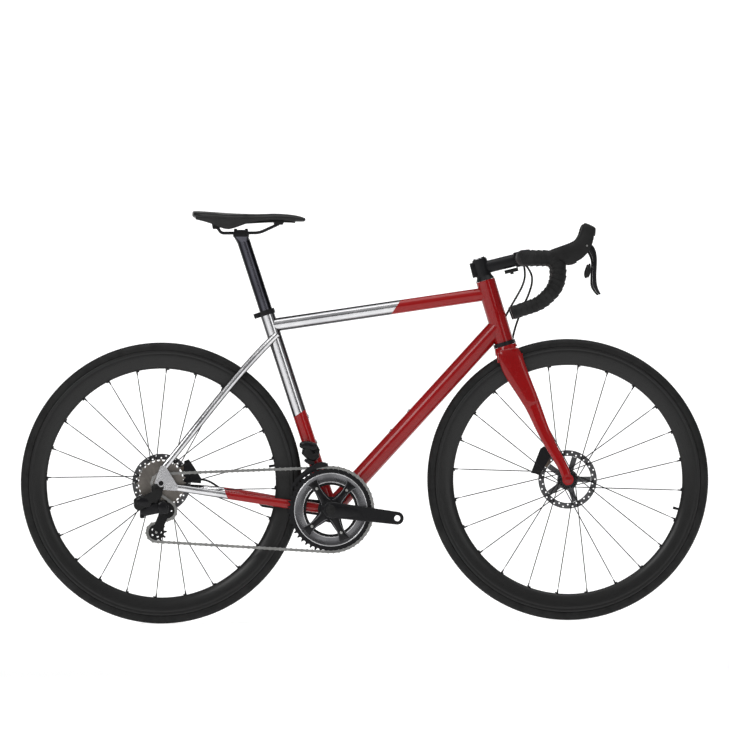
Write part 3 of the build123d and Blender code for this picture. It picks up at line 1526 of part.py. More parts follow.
caliper_hose = pipe(caliper_hose_route, smooth_radii(caliper_hose_route), hose_radius)
hose_hole = hose_radius + 0.3
head_tube_body = head_tube.part - pipe(rear_hose_route, smooth_radii(rear_hose_route), hose_hole)
fork_body = fork.part - pipe(
    front_hose_route + [(352.5, 27.3, 634.0)], smooth_radii(front_hose_route + [(352.5, 27.3, 634.0)]),
    hose_hole,
)
rear_hose = rear_hose - tape_right - handlebar.part - rod(head_bottom, head_top, bearing_seat_radius)
front_hose = front_hose - tape_left - handlebar.part
caliper_hose = caliper_hose - stay_solids[0] - rear_caliper
save(head_tube_body.solids().sort_by(SortBy.VOLUME)[-1], "head_tube")
save(fork_body.solids().sort_by(SortBy.VOLUME)[-1], "fork")
hose_solids = [h.solids().sort_by(SortBy.VOLUME)[-1] for h in (rear_hose, front_hose, caliper_hose)]
save(Compound(children=[hose_solids[0], hose_solids[2]]), "rear_brake_hose")
save(hose_solids[1], "front_brake_hose")
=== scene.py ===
import bpy
import bmesh
import math
import json
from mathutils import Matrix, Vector


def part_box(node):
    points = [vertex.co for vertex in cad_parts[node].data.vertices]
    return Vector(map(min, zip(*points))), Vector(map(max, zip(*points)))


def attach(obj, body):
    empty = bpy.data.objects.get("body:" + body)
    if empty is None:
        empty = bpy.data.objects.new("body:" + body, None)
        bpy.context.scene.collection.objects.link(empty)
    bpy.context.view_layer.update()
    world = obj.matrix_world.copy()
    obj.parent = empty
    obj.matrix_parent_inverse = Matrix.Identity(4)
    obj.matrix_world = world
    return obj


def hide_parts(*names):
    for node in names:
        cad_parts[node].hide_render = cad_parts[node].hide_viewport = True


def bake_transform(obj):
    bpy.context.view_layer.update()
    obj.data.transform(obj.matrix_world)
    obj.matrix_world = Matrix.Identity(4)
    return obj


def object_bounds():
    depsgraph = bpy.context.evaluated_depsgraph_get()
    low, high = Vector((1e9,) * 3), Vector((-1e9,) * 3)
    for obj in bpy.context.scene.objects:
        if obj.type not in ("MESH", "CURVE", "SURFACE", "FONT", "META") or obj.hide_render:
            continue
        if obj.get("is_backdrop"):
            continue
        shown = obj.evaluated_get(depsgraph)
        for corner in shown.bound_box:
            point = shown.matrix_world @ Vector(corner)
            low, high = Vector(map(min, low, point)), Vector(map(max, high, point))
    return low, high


# %% [markdown]
# # A road bicycle, dressed piece by piece
# The frame of this lesson is a finished mechanical model: every tube, wheel and lever is
# already there at its true size. What follows gives each piece the surface and the small
# forms that the workshop would: paint, wrap, tread, seams, nipples and bolts.

# %% Load the mechanical model
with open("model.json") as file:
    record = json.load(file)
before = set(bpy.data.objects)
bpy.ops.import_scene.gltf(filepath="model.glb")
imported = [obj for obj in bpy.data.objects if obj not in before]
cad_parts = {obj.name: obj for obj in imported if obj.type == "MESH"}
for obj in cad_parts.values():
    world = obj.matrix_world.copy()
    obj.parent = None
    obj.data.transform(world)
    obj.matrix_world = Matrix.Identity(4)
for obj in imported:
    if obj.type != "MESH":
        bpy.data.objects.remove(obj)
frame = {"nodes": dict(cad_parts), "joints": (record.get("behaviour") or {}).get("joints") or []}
nodes = frame["nodes"]
joints = {joint["name"]: joint for joint in frame["joints"]}
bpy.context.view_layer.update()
MM = 0.001

# %% [markdown]
# ## Landmarks
# A bicycle is measured from its axles. The boxes of round nodes give the axle centres, and
# the joint list gives the pivots, so no place has to be typed twice.


# %% Landmarks
def centre(node):
    """Middle of a node's box."""
    low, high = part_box(node)
    return (low + high) / 2


def span(node):
    """Size of a node's box along the three axes."""
    low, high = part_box(node)
    return high - low


FRONT_HUB = centre("front_tyre")
REAR_HUB = centre("rear_tyre")
BB = centre("bottom_bracket_shell")
TYRE_R = span("front_tyre").z / 2
TYRE_W = span("front_tyre").y
RIM_W = span("front_rim").y
STEER_UP = Vector(joints["steering"]["axis"]).normalized()
LEVER_PIVOT = {side: Vector(joints[side + "_brake_lever"]["pos_m"]) for side in ("left", "right")}
SIDES = {"left": 1, "right": -1}
print("hubs", FRONT_HUB, REAR_HUB, "bottom bracket", BB)


# %% [markdown]
# ## The camera
# A side view with a very long lens flattens the bicycle the way a catalogue view does: both
# wheels stay round and nothing leans. The lens follows from the width that the frame takes in
# and from the distance.


# %% Camera
VIEW_WIDTH = 1.7447
VIEW_DISTANCE = 45.0
SENSOR = 36.0
VIEW_CENTRE = Vector((0.0036, 0.0, 0.6139))
VIEW_ROLL = math.radians(0.5075)
camera_data = bpy.data.cameras.new("side_camera")
camera_data.sensor_width = SENSOR
camera_data.lens = SENSOR * VIEW_DISTANCE / VIEW_WIDTH
camera_data.clip_end = 300.0
camera = bpy.data.objects.new("side_camera", camera_data)
bpy.context.scene.collection.objects.link(camera)
camera.location = VIEW_CENTRE + Vector((0, -VIEW_DISTANCE, 0))
camera.rotation_euler = (math.radians(90), VIEW_ROLL, 0)
bpy.context.scene.camera = camera
bpy.context.scene.view_settings.view_transform = "Standard"
print("lens", round(camera_data.lens, 1), "mm")


# %% [markdown]
# ## Building materials from noise
# Real finishes are never one number. Each material here starts from a plain shader, then
# gets small changes of colour, roughness and height from noise that is tied to the object's
# own space, so it stays on the piece when the piece moves.


# %% Material helpers
class Finish:
    """A principled material with short helpers for its texture nodes."""

    def __init__(self, name, colour, roughness, metallic=0.0, coat=0.0, specular=0.5):
        self.material = bpy.data.materials.new(name)
        self.material.use_nodes = True
        self.tree = self.material.node_tree
        self.bsdf = self.tree.nodes["Principled BSDF"]
        self.bsdf.inputs["Base Color"].default_value = (*colour, 1)
        self.bsdf.inputs["Roughness"].default_value = roughness
        self.bsdf.inputs["Metallic"].default_value = metallic
        self.bsdf.inputs["Coat Weight"].default_value = coat
        self.bsdf.inputs["Coat Roughness"].default_value = 0.04
        self.bsdf.inputs["Specular IOR Level"].default_value = specular
        self.height = None

    def node(self, kind, **values):
        made = self.tree.nodes.new(kind)
        for key, value in values.items():
            setattr(made, key, value)
        return made

    def join(self, a, b):
        self.tree.links.new(a, b)

    def place(self, scale=(1, 1, 1), coords="Object"):
        """Texture position: the object's own space, or its UV map, stretched by scale."""
        source = self.node("ShaderNodeTexCoord")
        mapping = self.node("ShaderNodeMapping")
        mapping.inputs["Scale"].default_value = scale
        self.join(source.outputs[coords], mapping.inputs["Vector"])
        return mapping.outputs["Vector"]

    def noise(self, scale, detail=4.0, rough=0.55, stretch=(1, 1, 1), coords="Object"):
        made = self.node("ShaderNodeTexNoise")
        made.inputs["Scale"].default_value = scale
        made.inputs["Detail"].default_value = detail
        made.inputs["Roughness"].default_value = rough
        self.join(self.place(stretch, coords), made.inputs["Vector"])
        return made.outputs["Fac"]

    def cells(self, scale, stretch=(1, 1, 1), coords="Object", feature="F1"):
        made = self.node("ShaderNodeTexVoronoi", feature=feature)
        made.inputs["Scale"].default_value = scale
        self.join(self.place(stretch, coords), made.inputs["Vector"])
        return made.outputs["Distance"]

    def ramp(self, source, low, high, at=(0.35, 0.65)):
        """Grey or colour ramp: low and high are numbers or colours."""
        made = self.node("ShaderNodeValToRGB")
        stops = made.color_ramp.elements
        for stop, place, value in zip(stops, at, (low, high)):
            stop.position = place
            stop.color = (*value, 1) if hasattr(value, "__len__") else (value, value, value, 1)
        self.join(source, made.inputs["Fac"])
        return made.outputs["Color"]

    def colour(self, output):
        self.join(output, self.bsdf.inputs["Base Color"])

    def roughness(self, output):
        self.join(output, self.bsdf.inputs["Roughness"])

    def bump(self, output, strength, distance):
        """Adds one more layer of height."""
        made = self.node("ShaderNodeBump")
        made.inputs["Strength"].default_value = strength
        made.inputs["Distance"].default_value = distance
        self.join(output, made.inputs["Height"])
        if self.height:
            self.join(self.height, made.inputs["Normal"])
        self.height = made.outputs["Normal"]
        self.join(self.height, self.bsdf.inputs["Normal"])

    def math(self, operation, a, b=0.0):
        made = self.node("ShaderNodeMath", operation=operation)
        for socket, value in zip(made.inputs, (a, b)):
            if hasattr(value, "is_output"):
                self.join(value, socket)
            else:
                socket.default_value = value
        return made.outputs["Value"]

    def mix(self, factor, a, b):
        made = self.node("ShaderNodeMix", data_type="RGBA")
        for key, value in (("Factor", factor), ("A", a), ("B", b)):
            socket = made.inputs[key]
            if hasattr(value, "is_output"):
                self.join(value, socket)
            elif hasattr(value, "__len__"):
                socket.default_value = (*value, 1)
            else:
                socket.default_value = value
        return made.outputs["Result"]


def wear(finish, low, high, scale):
    """Handling marks: patches a little rougher or smoother than the rest."""
    finish.roughness(finish.ramp(finish.noise(scale, 6.0, 0.62), low, high))


print("helpers", [name for name in vars(Finish) if not name.startswith("_")])


# %% [markdown]
# ## Paint and polished steel
# The frame is steel tube. Behind a slanted line it is polished and left bare, and ahead of
# it the same tube is red under clear coat. One material can do both: the sign of a plane
# equation in the object's space picks the finish, so the line crosses the tube at a true angle.

# %% Red paint, polished steel, and the tube that wears both
RED = (0.270, 0.0040, 0.0048)
DEEP_RED = (0.215, 0.0030, 0.0038)
FLAKE_RED = (0.36, 0.012, 0.012)
STEEL = (0.66, 0.66, 0.67)
STEEL_DULL = (0.56, 0.56, 0.58)
STEEL_BRIGHT = (0.76, 0.76, 0.77)
# Colour of the painted dark reflection at the edges of polished tube.
STEEL_PAINTED_EDGE = (0.030, 0.030, 0.033)
COAT_WEIGHT = 0.55


def flaked(paint, base):
    """A paint colour with sparse brighter flakes in it."""
    flakes = paint.noise(2600.0, 1.0, 0.5)
    return paint.mix(paint.ramp(flakes, 0.0, 0.22, (0.55, 0.75)), base, FLAKE_RED)


def red_paint(name="red_paint"):
    """Clear-coated red with slow changes of depth."""
    paint = Finish(name, RED, 0.26, coat=COAT_WEIGHT, specular=0.12)
    depth = paint.noise(5.0, 3.0, 0.5)
    shade = paint.mix(paint.ramp(depth, 0.0, 1.0, (0.3, 0.7)), DEEP_RED, RED)
    paint.colour(flaked(paint, shade))
    wear(paint, 0.20, 0.30, 60.0)
    paint.bump(paint.noise(420.0, 2.0, 0.4), 0.012, 0.0004)
    return paint.material


def painted_edge_reflection(metal, start=0.10, end=0.34, strength=0.94):
    """Painted reflection: darkens the colour of a polished tube towards its edges, where it would mirror
    the dim room behind it.
    """
    facing = metal.node("ShaderNodeLayerWeight")
    facing.inputs["Blend"].default_value = 0.5
    return metal.ramp(facing.outputs["Facing"], 0.0, strength, (start, end))


def steel_colour(metal, cloud):
    """Bare polished tube: cloudy bright steel whose colour turns dark towards its edges, a painted
    reflection.
    """
    bright = metal.ramp(cloud, STEEL_DULL, STEEL_BRIGHT, (0.25, 0.75))
    return metal.mix(painted_edge_reflection(metal), bright, STEEL_PAINTED_EDGE)


def polished_steel(name="polished_steel", roughness=0.13):
    """Steel that was brushed along the tube and then polished."""
    steel = Finish(name, STEEL, roughness, metallic=1.0)
    brushed = steel.noise(900.0, 2.0, 0.5, stretch=(1, 1, 0.08))
    cloud = steel.noise(22.0, 5.0, 0.6)
    # The colour carries a painted dark reflection towards the tube's edges.
    steel.colour(steel_colour(steel, cloud))
    steel.roughness(steel.ramp(cloud, roughness - 0.04, roughness + 0.09))
    steel.bump(brushed, 0.035, 0.0002)
    return steel.material


def two_tone(name, point, normal, ceiling=None):
    """Polished steel behind the plane through point, red clear-coated paint ahead of it.
    With a ceiling, everything higher than it is polished too."""
    both = Finish(name, RED, 0.22, specular=0.12)
    source = both.node("ShaderNodeTexCoord")
    dot = both.node("ShaderNodeVectorMath", operation="DOT_PRODUCT")
    both.join(source.outputs["Object"], dot.inputs[0])
    dot.inputs[1].default_value = normal
    mask = both.math("GREATER_THAN", dot.outputs["Value"], point.dot(Vector(normal)))
    if ceiling:
        parts = both.node("ShaderNodeSeparateXYZ")
        both.join(source.outputs["Object"], parts.inputs["Vector"])
        mask = both.math("MULTIPLY", mask, both.math("LESS_THAN", parts.outputs["Z"], ceiling))
    cloud = both.noise(22.0, 5.0, 0.6)
    # The bare steel's colour carries a painted dark reflection towards its edges.
    both.colour(both.mix(mask, steel_colour(both, cloud), flaked(both, RED)))
    both.join(both.math("SUBTRACT", 1.0, mask), both.bsdf.inputs["Metallic"])
    both.join(both.math("MULTIPLY", mask, COAT_WEIGHT), both.bsdf.inputs["Coat Weight"])
    both.roughness(both.ramp(cloud, 0.11, 0.24))
    both.bump(mask, 0.3, 0.0001)
    return both.material


RED_PAINT = red_paint()
POLISHED = polished_steel()
print("paint", RED_PAINT.name, "steel", POLISHED.name)


# %% [markdown]
# ## Black parts
# A bicycle has many blacks and each one is different: anodised alloy is fine and satin,
# moulded plastic has a soft grain, rubber is dull, and carbon shows faint streaks.


# %% Black finishes
def satin_black(name="satin_black", shade=0.011, roughness=0.34, metallic=0.2):
    """Anodised or lacquered alloy with a very fine grain."""
    black = Finish(name, (shade, shade, shade * 1.1), roughness, metallic=metallic, specular=0.18)
    black.roughness(black.ramp(black.noise(70.0, 6.0, 0.6), roughness - 0.07, roughness + 0.1))
    black.bump(black.noise(1800.0, 2.0, 0.5), 0.05, 0.0002)
    return black.material


def anodised_post():
    """Dark anodised alloy with a painted soft blue-grey sheen along its middle and a painted dark
    reflection at its edges.
    """
    post = Finish("anodised_post", (0.08, 0.08, 0.095), 0.26, metallic=1.0)
    cloud = post.ramp(post.noise(14.0, 4.0), (0.075, 0.075, 0.09), (0.105, 0.105, 0.125))
    # Painted sheen: the cloudy colour stays along the middle, and a painted dark reflection covers the
    # edges.
    post.colour(post.mix(painted_edge_reflection(post, 0.03, 0.22), cloud, (0.006, 0.006, 0.008)))
    post.bump(post.noise(1500.0, 2.0, 0.5), 0.04, 0.0001)
    return post.material


def moulded_black(name="moulded_black", shade=0.010, roughness=0.48, grain=1500.0):
    """Moulded plastic; a lower grain number gives a coarser skin."""
    black = Finish(name, (shade, shade, shade * 1.1), roughness, specular=0.16)
    black.colour(black.ramp(black.noise(12.0, 4.0), shade * 0.8, shade * 1.35))
    black.roughness(black.ramp(black.noise(45.0, 5.0), roughness - 0.1, roughness + 0.1))
    black.bump(black.noise(grain, 3.0, 0.6), 0.14, 0.0003)
    return black.material


def hood_rubber(name="hood_rubber"):
    """Dull rubber with a pattern of small dots."""
    rubber = Finish(name, (0.009, 0.009, 0.010), 0.55, specular=0.2)
    dots = rubber.cells(420.0)
    rubber.bump(rubber.ramp(dots, 1.0, 0.0, (0.2, 0.5)), 0.25, 0.0004)
    rubber.roughness(rubber.ramp(rubber.noise(40.0), 0.52, 0.72))
    rubber.colour(rubber.ramp(rubber.noise(18.0), 0.006, 0.012))
    return rubber.material


def tape_finish(name="bar_tape"):
    """Soft tape with fine pores over a slow unevenness."""
    tape = Finish(name, (0.009, 0.009, 0.010), 0.5, specular=0.22)
    pores = tape.cells(900.0)
    tape.bump(tape.ramp(pores, 0.0, 1.0, (0.1, 0.6)), 0.35, 0.0004)
    tape.bump(tape.noise(260.0, 4.0), 0.15, 0.0004)
    tape.roughness(tape.ramp(tape.noise(35.0), 0.5, 0.7))
    tape.colour(tape.ramp(tape.noise(25.0), 0.006, 0.012))
    return tape.material


def carbon(name="satin_carbon", shade=0.010, roughness=0.30):
    """Unidirectional carbon under a satin lacquer: faint streaks that run round the rim."""
    black = Finish(name, (shade, shade, shade * 1.12), roughness, coat=0.12, specular=0.22)
    black.bsdf.inputs["Coat Roughness"].default_value = 0.22
    streak = black.noise(60.0, 6.0, 0.7, stretch=(1, 26, 1), coords="UV")
    black.colour(black.ramp(streak, shade * 0.7, shade * 1.7, (0.3, 0.7)))
    black.roughness(black.ramp(streak, roughness - 0.05, roughness + 0.1))
    black.bump(streak, 0.03, 0.0003)
    return black.material


CUTS_ROUND = 420.0
CUT_SLANT = 30.0
SHOULDER_BAND = (0.10, 0.17)


def tyre_rubber(name="tyre_rubber"):
    """Tread rubber with fine shoulder cuts; the UV map runs round the wheel and across it."""
    rubber = Finish(name, (0.010, 0.010, 0.011), 0.6, specular=0.2)
    place = rubber.node("ShaderNodeTexCoord")
    parts = rubber.node("ShaderNodeSeparateXYZ")
    rubber.join(place.outputs["UV"], parts.inputs["Vector"])
    across = parts.outputs["Y"]
    off_centre = rubber.math("ABSOLUTE", rubber.math("SUBTRACT", across, 0.5))
    past_tread = rubber.math("GREATER_THAN", off_centre, SHOULDER_BAND[0])
    before_wall = rubber.math("LESS_THAN", off_centre, SHOULDER_BAND[1])
    band = rubber.math("MULTIPLY", past_tread, before_wall)
    around = rubber.math("MULTIPLY", parts.outputs["X"], CUTS_ROUND)
    slant = rubber.math("ADD", around, rubber.math("MULTIPLY", across, CUT_SLANT))
    cut = rubber.math("GREATER_THAN", rubber.math("FRACT", slant), 0.72)
    rubber.bump(rubber.math("MULTIPLY", rubber.math("MULTIPLY", cut, band), -1.0), 0.8, 0.0006)
    rubber.bump(rubber.noise(700.0, 4.0), 0.12, 0.0004)
    rubber.colour(rubber.ramp(rubber.noise(30.0, 5.0), 0.007, 0.013))
    rubber.roughness(rubber.ramp(rubber.noise(90.0), 0.52, 0.72))
    return rubber.material


def saddle_leather(name="saddle_cover"):
    """Smooth synthetic leather with a small pebble grain."""
    cover = Finish(name, (0.010, 0.010, 0.011), 0.40, specular=0.28)
    grain = cover.cells(640.0)
    cover.bump(cover.ramp(grain, 0.0, 1.0, (0.05, 0.45)), 0.22, 0.0003)
    cover.roughness(cover.ramp(cover.noise(30.0, 5.0), 0.33, 0.52))
    cover.colour(cover.ramp(cover.noise(14.0, 4.0), 0.006, 0.012))
    return cover.material


def machined(name, colour, roughness):
    """Nickel-plated or ground steel with fine tool marks and a little grime in random patches."""
    metal = Finish(name, colour, roughness, metallic=1.0)
    marks = metal.noise(900.0, 2.0, 0.5, stretch=(1, 0.1, 1))
    grime = metal.noise(26.0, 3.0, 0.5)
    dark = tuple(value * 0.72 for value in colour)
    metal.colour(metal.ramp(grime, dark, colour, (0.34, 0.60)))
    metal.roughness(metal.ramp(grime, roughness + 0.08, roughness - 0.03, (0.3, 0.6)))
    metal.bump(marks, 0.03, 0.00006)
    return metal.material


# %% [markdown]
# ## The set of finishes
# Every piece picks its finish from this list. The numbers are a base shade or colour and a
# roughness; the helpers above add the small differences.

# %% The set of finishes
SATIN = satin_black()
POST = anodised_post()
GLOSS_BLACK = satin_black("gloss_black", 0.010, 0.16, 0.1)
PLASTIC = moulded_black()
HOSE = moulded_black("hose_jacket", 0.010, 0.40, 600.0)
HOOD = hood_rubber()
TAPE = tape_finish()
CARBON = carbon()
TYRE = tyre_rubber()
LEATHER = saddle_leather()
NICKEL = machined("nickel_plate", (0.34, 0.34, 0.33), 0.28)
GREY_ALLOY = machined("grey_alloy", (0.17, 0.17, 0.178), 0.26)
COG_STEEL = machined("cog_steel", (0.24, 0.22, 0.20), 0.32)
ROTOR_STEEL = machined("rotor_steel", (0.13, 0.13, 0.135), 0.30)
BRIGHT_ALLOY = machined("bright_alloy", (0.62, 0.62, 0.63), 0.22)
SPOKE_BLACK = satin_black("spoke_black", 0.008, 0.42, 0.0)
PAD_METAL = machined("sintered_pad", (0.20, 0.17, 0.14), 0.55)
print("black finishes ready")


# %% [markdown]
# ## Dressing the mechanical pieces
# Most of the model's own pieces already have their true shape, so they only need a finish.
# The fork, the seat tube, the top tube and the stays are two-tone. A point on the paint line
# and the direction towards the paint describe where their colour changes.

# %% Finish for each mechanical piece
PAINT_LINE = {
    "fork": (Vector((0.3364, 0, 0.664)), tuple(-STEER_UP)),
    "top_tube": (Vector((0.0793, 0, 0.7523)), (0.823, 0.0, -0.568)),
    "seat_tube": (Vector((-0.1514, 0, 0.5012)), (0.549, 0.0, -0.836)),
    "stays": (Vector((-0.3301, 0, 0.306)), (0.925, 0.0, 0.38)),
}
STAY_PAINT_TOP = 0.345
WORN_BY = [
    (RED_PAINT, ["head_tube", "down_tube", "bottom_bracket_shell"]),
    (POLISHED, ["dropouts"]),
    (BRIGHT_ALLOY, ["bottle_bosses"]),
    (SATIN, ["seat_clamp", "frame_bearings", "rear_thru_axle", "front_thru_axle", "front_caliper",
             "rear_caliper", "rear_derailleur_link", "stem", "stem_faceplate", "stem_hardware",
             "handlebar", "seatpost_clamp", "saddle_rails", "front_hub", "rear_hub"]),
    (GLOSS_BLACK, ["rear_derailleur_cage", "front_derailleur_cage", "chainrings", "crank_arm_left",
                   "crank_arm_right", "brake_lever_left", "brake_lever_right"]),
    (PLASTIC, ["front_derailleur_body", "rear_derailleur_mount", "rear_derailleur_knuckle",
               "guide_pulley", "tension_pulley", "junction_box", "saddle_shell",
               "shift_buttons_left", "shift_buttons_right"]),
    (PAD_METAL, ["front_pad_left", "front_pad_right", "rear_pad_left", "rear_pad_right"]),
    (ROTOR_STEEL, ["front_rotor", "rear_rotor"]),
    (SPOKE_BLACK, ["front_spokes", "rear_spokes"]),
    (NICKEL, ["chain"]),
    (COG_STEEL, ["cassette"]),
    (POST, ["seatpost"]),
    (HOOD, ["lever_hoods"]),
]
FINISHES = {node: finish for finish, group in WORN_BY for node in group}
for node, (point, normal) in PAINT_LINE.items():
    ceiling = STAY_PAINT_TOP if node == "stays" else None
    FINISHES[node] = two_tone(node + "_two_tone", point, normal, ceiling)
for node, finish in FINISHES.items():
    mesh = nodes[node].data
    mesh.materials.clear()
    mesh.materials.append(finish)
print("dressed", len(FINISHES), "pieces")


# %% [markdown]
# ## Tools for the pieces made here
# Turned pieces come from one profile spun about the axle. Moulded pieces come from a row of
# rounded sections, like the stations of a boat hull. Both give clean meshes with a UV map.


# %% Mesh tools
def add_piece(name, mesh, body, material, replaced=()):
    """Links a mesh as a piece that rides on a body and takes the given finish."""
    piece = bpy.data.objects.new(name, mesh)
    bpy.context.scene.collection.objects.link(piece)
    mesh.materials.clear()
    mesh.materials.append(material)
    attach(piece, body)
    if replaced:
        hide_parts(*replaced)
    return piece


def grid_mesh(name, rings, closed_rings=True, loop=False, caps=True):
    """Quads between rings of points; loop joins the last ring to the first."""
    count = len(rings[0])
    mesh = bpy.data.meshes.new(name)
    build = bmesh.new()
    uv = build.loops.layers.uv.new("UVMap")
    rows = [[build.verts.new(point) for point in ring] for ring in rings]
    total = len(rings)
    for i in range(total if loop else total - 1):
        for j in range(count if closed_rings else count - 1):
            corners = ((i, j), (i, j + 1), (i + 1, j + 1), (i + 1, j))
            face = build.faces.new([rows[a % total][b % count] for a, b in corners])
            face.smooth = True
            for corner, (a, b) in zip(face.loops, corners):
                corner[uv].uv = (a / total, b / count)
    if caps and not loop:
        for row, flip in ((rows[0], True), (rows[-1], False)):
            face = build.faces.new(list(reversed(row)) if flip else row)
            face.smooth = True
    bmesh.ops.recalc_face_normals(build, faces=build.faces)
    build.to_mesh(mesh)
    build.free()
    return mesh


def turned(name, hub, profile, steps):
    """A closed profile of (across, radius) points spun about the axle at hub."""
    rings = []
    for k in range(steps):
        angle = 2 * math.pi * k / steps
        out = Vector((math.sin(angle), 0, math.cos(angle)))
        rings.append([hub + Vector((0, across, 0)) + out * radius for across, radius in profile])
    return grid_mesh(name, rings, loop=True)


def superellipse(count, power):
    """Unit points of a rounded rectangle: power 2 is an ellipse, higher is squarer."""
    points = []
    for k in range(count):
        angle = 2 * math.pi * k / count
        c, s = math.cos(angle), math.sin(angle)
        points.append((math.copysign(abs(c) ** (2 / power), c), math.copysign(abs(s) ** (2 / power), s)))
    return points


def hull_mesh(name, stations, count=24, power=2.6, cap=1.0):
    """Moulded form from stations: (edge a, edge b, half width across), all in the side view.
    The ends close with two shrinking rings, so they come out rounded."""
    rings = []
    unit = superellipse(count, power)

    def ring(a, b, half, shift=Vector((0, 0, 0)), size=1.0):
        middle = (a + b) / 2 + shift
        rise = (a - b) / 2
        return [middle + Vector((0, half * size * c, 0)) + rise * (size * s) for c, s in unit]

    first, last = stations[0], stations[-1]
    out_first = ((first[0] + first[1]) - (stations[1][0] + stations[1][1])).normalized()
    out_last = ((last[0] + last[1]) - (stations[-2][0] + stations[-2][1])).normalized()
    thick_first = min(first[2], (first[0] - first[1]).length / 2)
    thick_last = min(last[2], (last[0] - last[1]).length / 2)
    for share, size in ((0.5, 0.45), (0.32, 0.80)):
        rings.append(ring(*first, shift=out_first * thick_first * share * cap, size=size))
    rings.extend(ring(*station) for station in stations)
    for share, size in ((0.32, 0.80), (0.5, 0.45)):
        rings.append(ring(*last, shift=out_last * thick_last * share * cap, size=size))
    return grid_mesh(name, rings)


def refine(piece, levels=1):
    """Subdivision for round forms, at the same level in the viewport and at render."""
    modifier = piece.modifiers.new("smooth", "SUBSURF")
    modifier.levels = levels
    modifier.render_levels = levels
    return piece


def soften(piece, width, segments=2, angle=0.6):
    """Small bevel on sharp corners, as a tumbled or moulded edge has."""
    modifier = piece.modifiers.new("edge", "BEVEL")
    modifier.width = width
    modifier.segments = segments
    modifier.limit_method = "ANGLE"
    modifier.angle_limit = angle
    return piece


print("mesh tools ready")


# %% [markdown]
# ## Tyres and rims
# A tyre is a tube of rubber over a rim, so a circle makes most of its profile. A slightly
# raised centre tread gives the edge that catches light. The rim is a deep wedge of carbon
# with a crease below its outer edge and a rounded nose at the spokes.


# %% Tyres and rims
TYRE_WALL = 2.6 * MM
TREAD_RISE = 0.35 * MM
TREAD_REACH = 0.62
BEAD_R = span("front_rim").z / 2
NOSE_R = 0.273
WHEEL_STEPS = 180


def tyre_profile():
    """(across, radius) points round the casing: over the tread from bead to bead, and back inside."""
    half = TYRE_W / 2
    middle = TYRE_R - half
    reach = math.acos((BEAD_R - middle) / half)
    outside = []
    for k in range(33):
        angle = -reach + 2 * reach * k / 32
        flare = TREAD_RISE if abs(angle) < TREAD_REACH else 0.0
        radius = half - TREAD_RISE + flare
        outside.append((radius * math.sin(angle), middle + radius * math.cos(angle)))
    inside = []
    shrink = 1 - TYRE_WALL / half
    for across, radius in reversed(outside[::4]):
        inside.append((across * shrink, middle + (radius - middle) * shrink))
    return outside + inside


def rim_profile():
    """(across, radius) points of a deep rim: hooked edge, crease, bulging flank, rounded nose."""
    half = RIM_W / 2

    def at_bead(inset, rise):
        return half - inset * MM, BEAD_R + rise * MM

    def at_nose(inset, rise):
        return half - inset * MM, NOSE_R + rise * MM

    flank = [
        at_bead(0.9, 0.4), at_bead(0.2, -0.6), at_bead(0.0, -2.0), at_bead(0.0, -6.4),
        at_bead(0.35, -7.2), at_bead(0.15, -8.2), at_nose(0.2, 30), at_nose(1.3, 22),
        at_nose(3.0, 14), at_nose(5.4, 7), at_nose(8.2, 2.6), (2.6 * MM, NOSE_R + 0.3 * MM),
    ]
    bed = [at_bead(2.2, 0.2), at_bead(3.0, -5.0), (4.0 * MM, BEAD_R - 7.5 * MM)]
    right = bed[::-1] + flank
    left = [(-across, radius) for across, radius in reversed(right)]
    return right + left


WHEELS = {"front": (FRONT_HUB, "front_wheel"), "rear": (REAR_HUB, "rear_wheel")}
for name, (hub, body) in WHEELS.items():
    mesh = turned(name + "_tyre_casing", hub, tyre_profile(), WHEEL_STEPS)
    tyre = add_piece(name + "_tyre_casing", mesh, body, TYRE, [name + "_tyre"])
    mesh = turned(name + "_rim_shell", hub, rim_profile(), WHEEL_STEPS)
    rim = add_piece(name + "_rim_shell", mesh, body, CARBON, [name + "_rim"])
    print(name, "tyre", len(tyre.data.polygons), "faces, rim", len(rim.data.polygons))


# %% [markdown]
# ## Pins and spokes
# A pin is a row of round sections between two points; nipples, bolts, caps and the valves are
# all pins. A spoke is round at both ends and a thin wide blade between them. Its two ends are
# measured on the model's own spokes.


# %% Pin and spoke tools
def cylinder_rings(start, end, radii, sides=12):
    """Rings of points from start to end; radii is a list of (share along, radius)."""
    along = (end - start).normalized()
    side = along.orthogonal().normalized()
    other = along.cross(side)
    rings = []
    for share, radius in radii:
        middle = start.lerp(end, share)
        ring = []
        for k in range(sides):
            angle = 2 * math.pi * k / sides
            ring.append(middle + side * (radius * math.cos(angle)) + other * (radius * math.sin(angle)))
        rings.append(ring)
    return rings


def joined(name, meshes):
    """One mesh from several."""
    build = bmesh.new()
    for mesh in meshes:
        build.from_mesh(mesh)
        bpy.data.meshes.remove(mesh)
    result = bpy.data.meshes.new(name)
    build.to_mesh(result)
    build.free()
    return result


def turned_pin(start, end, radii, sides=12):
    """Closed mesh of the rings from start to end."""
    return grid_mesh("pin", cylinder_rings(start, end, radii, sides))


def spoke_ends(node, hub):
    """Outer and inner end of each separate surface of the model's spokes. The round end faces
    are surfaces of their own, so each spoke gives three pairs: one long and two very short."""
    mesh = nodes[node].data
    group = list(range(len(mesh.vertices)))

    def root(index):
        while group[index] != index:
            group[index] = group[group[index]]
            index = group[index]
        return index

    for edge in mesh.edges:
        a, b = edge.vertices
        group[root(a)] = root(b)
    spokes = {}
    for vertex in mesh.vertices:
        spokes.setdefault(root(vertex.index), []).append(vertex.co.copy())
    ends = []
    for points in spokes.values():
        points.sort(key=lambda point: math.hypot(point.x - hub.x, point.z - hub.z))
        few = max(len(points) // 4, 1)
        inner = sum(points[:few], Vector()) / few
        outer = sum(points[-few:], Vector()) / few
        ends.append((outer, inner))
    return ends


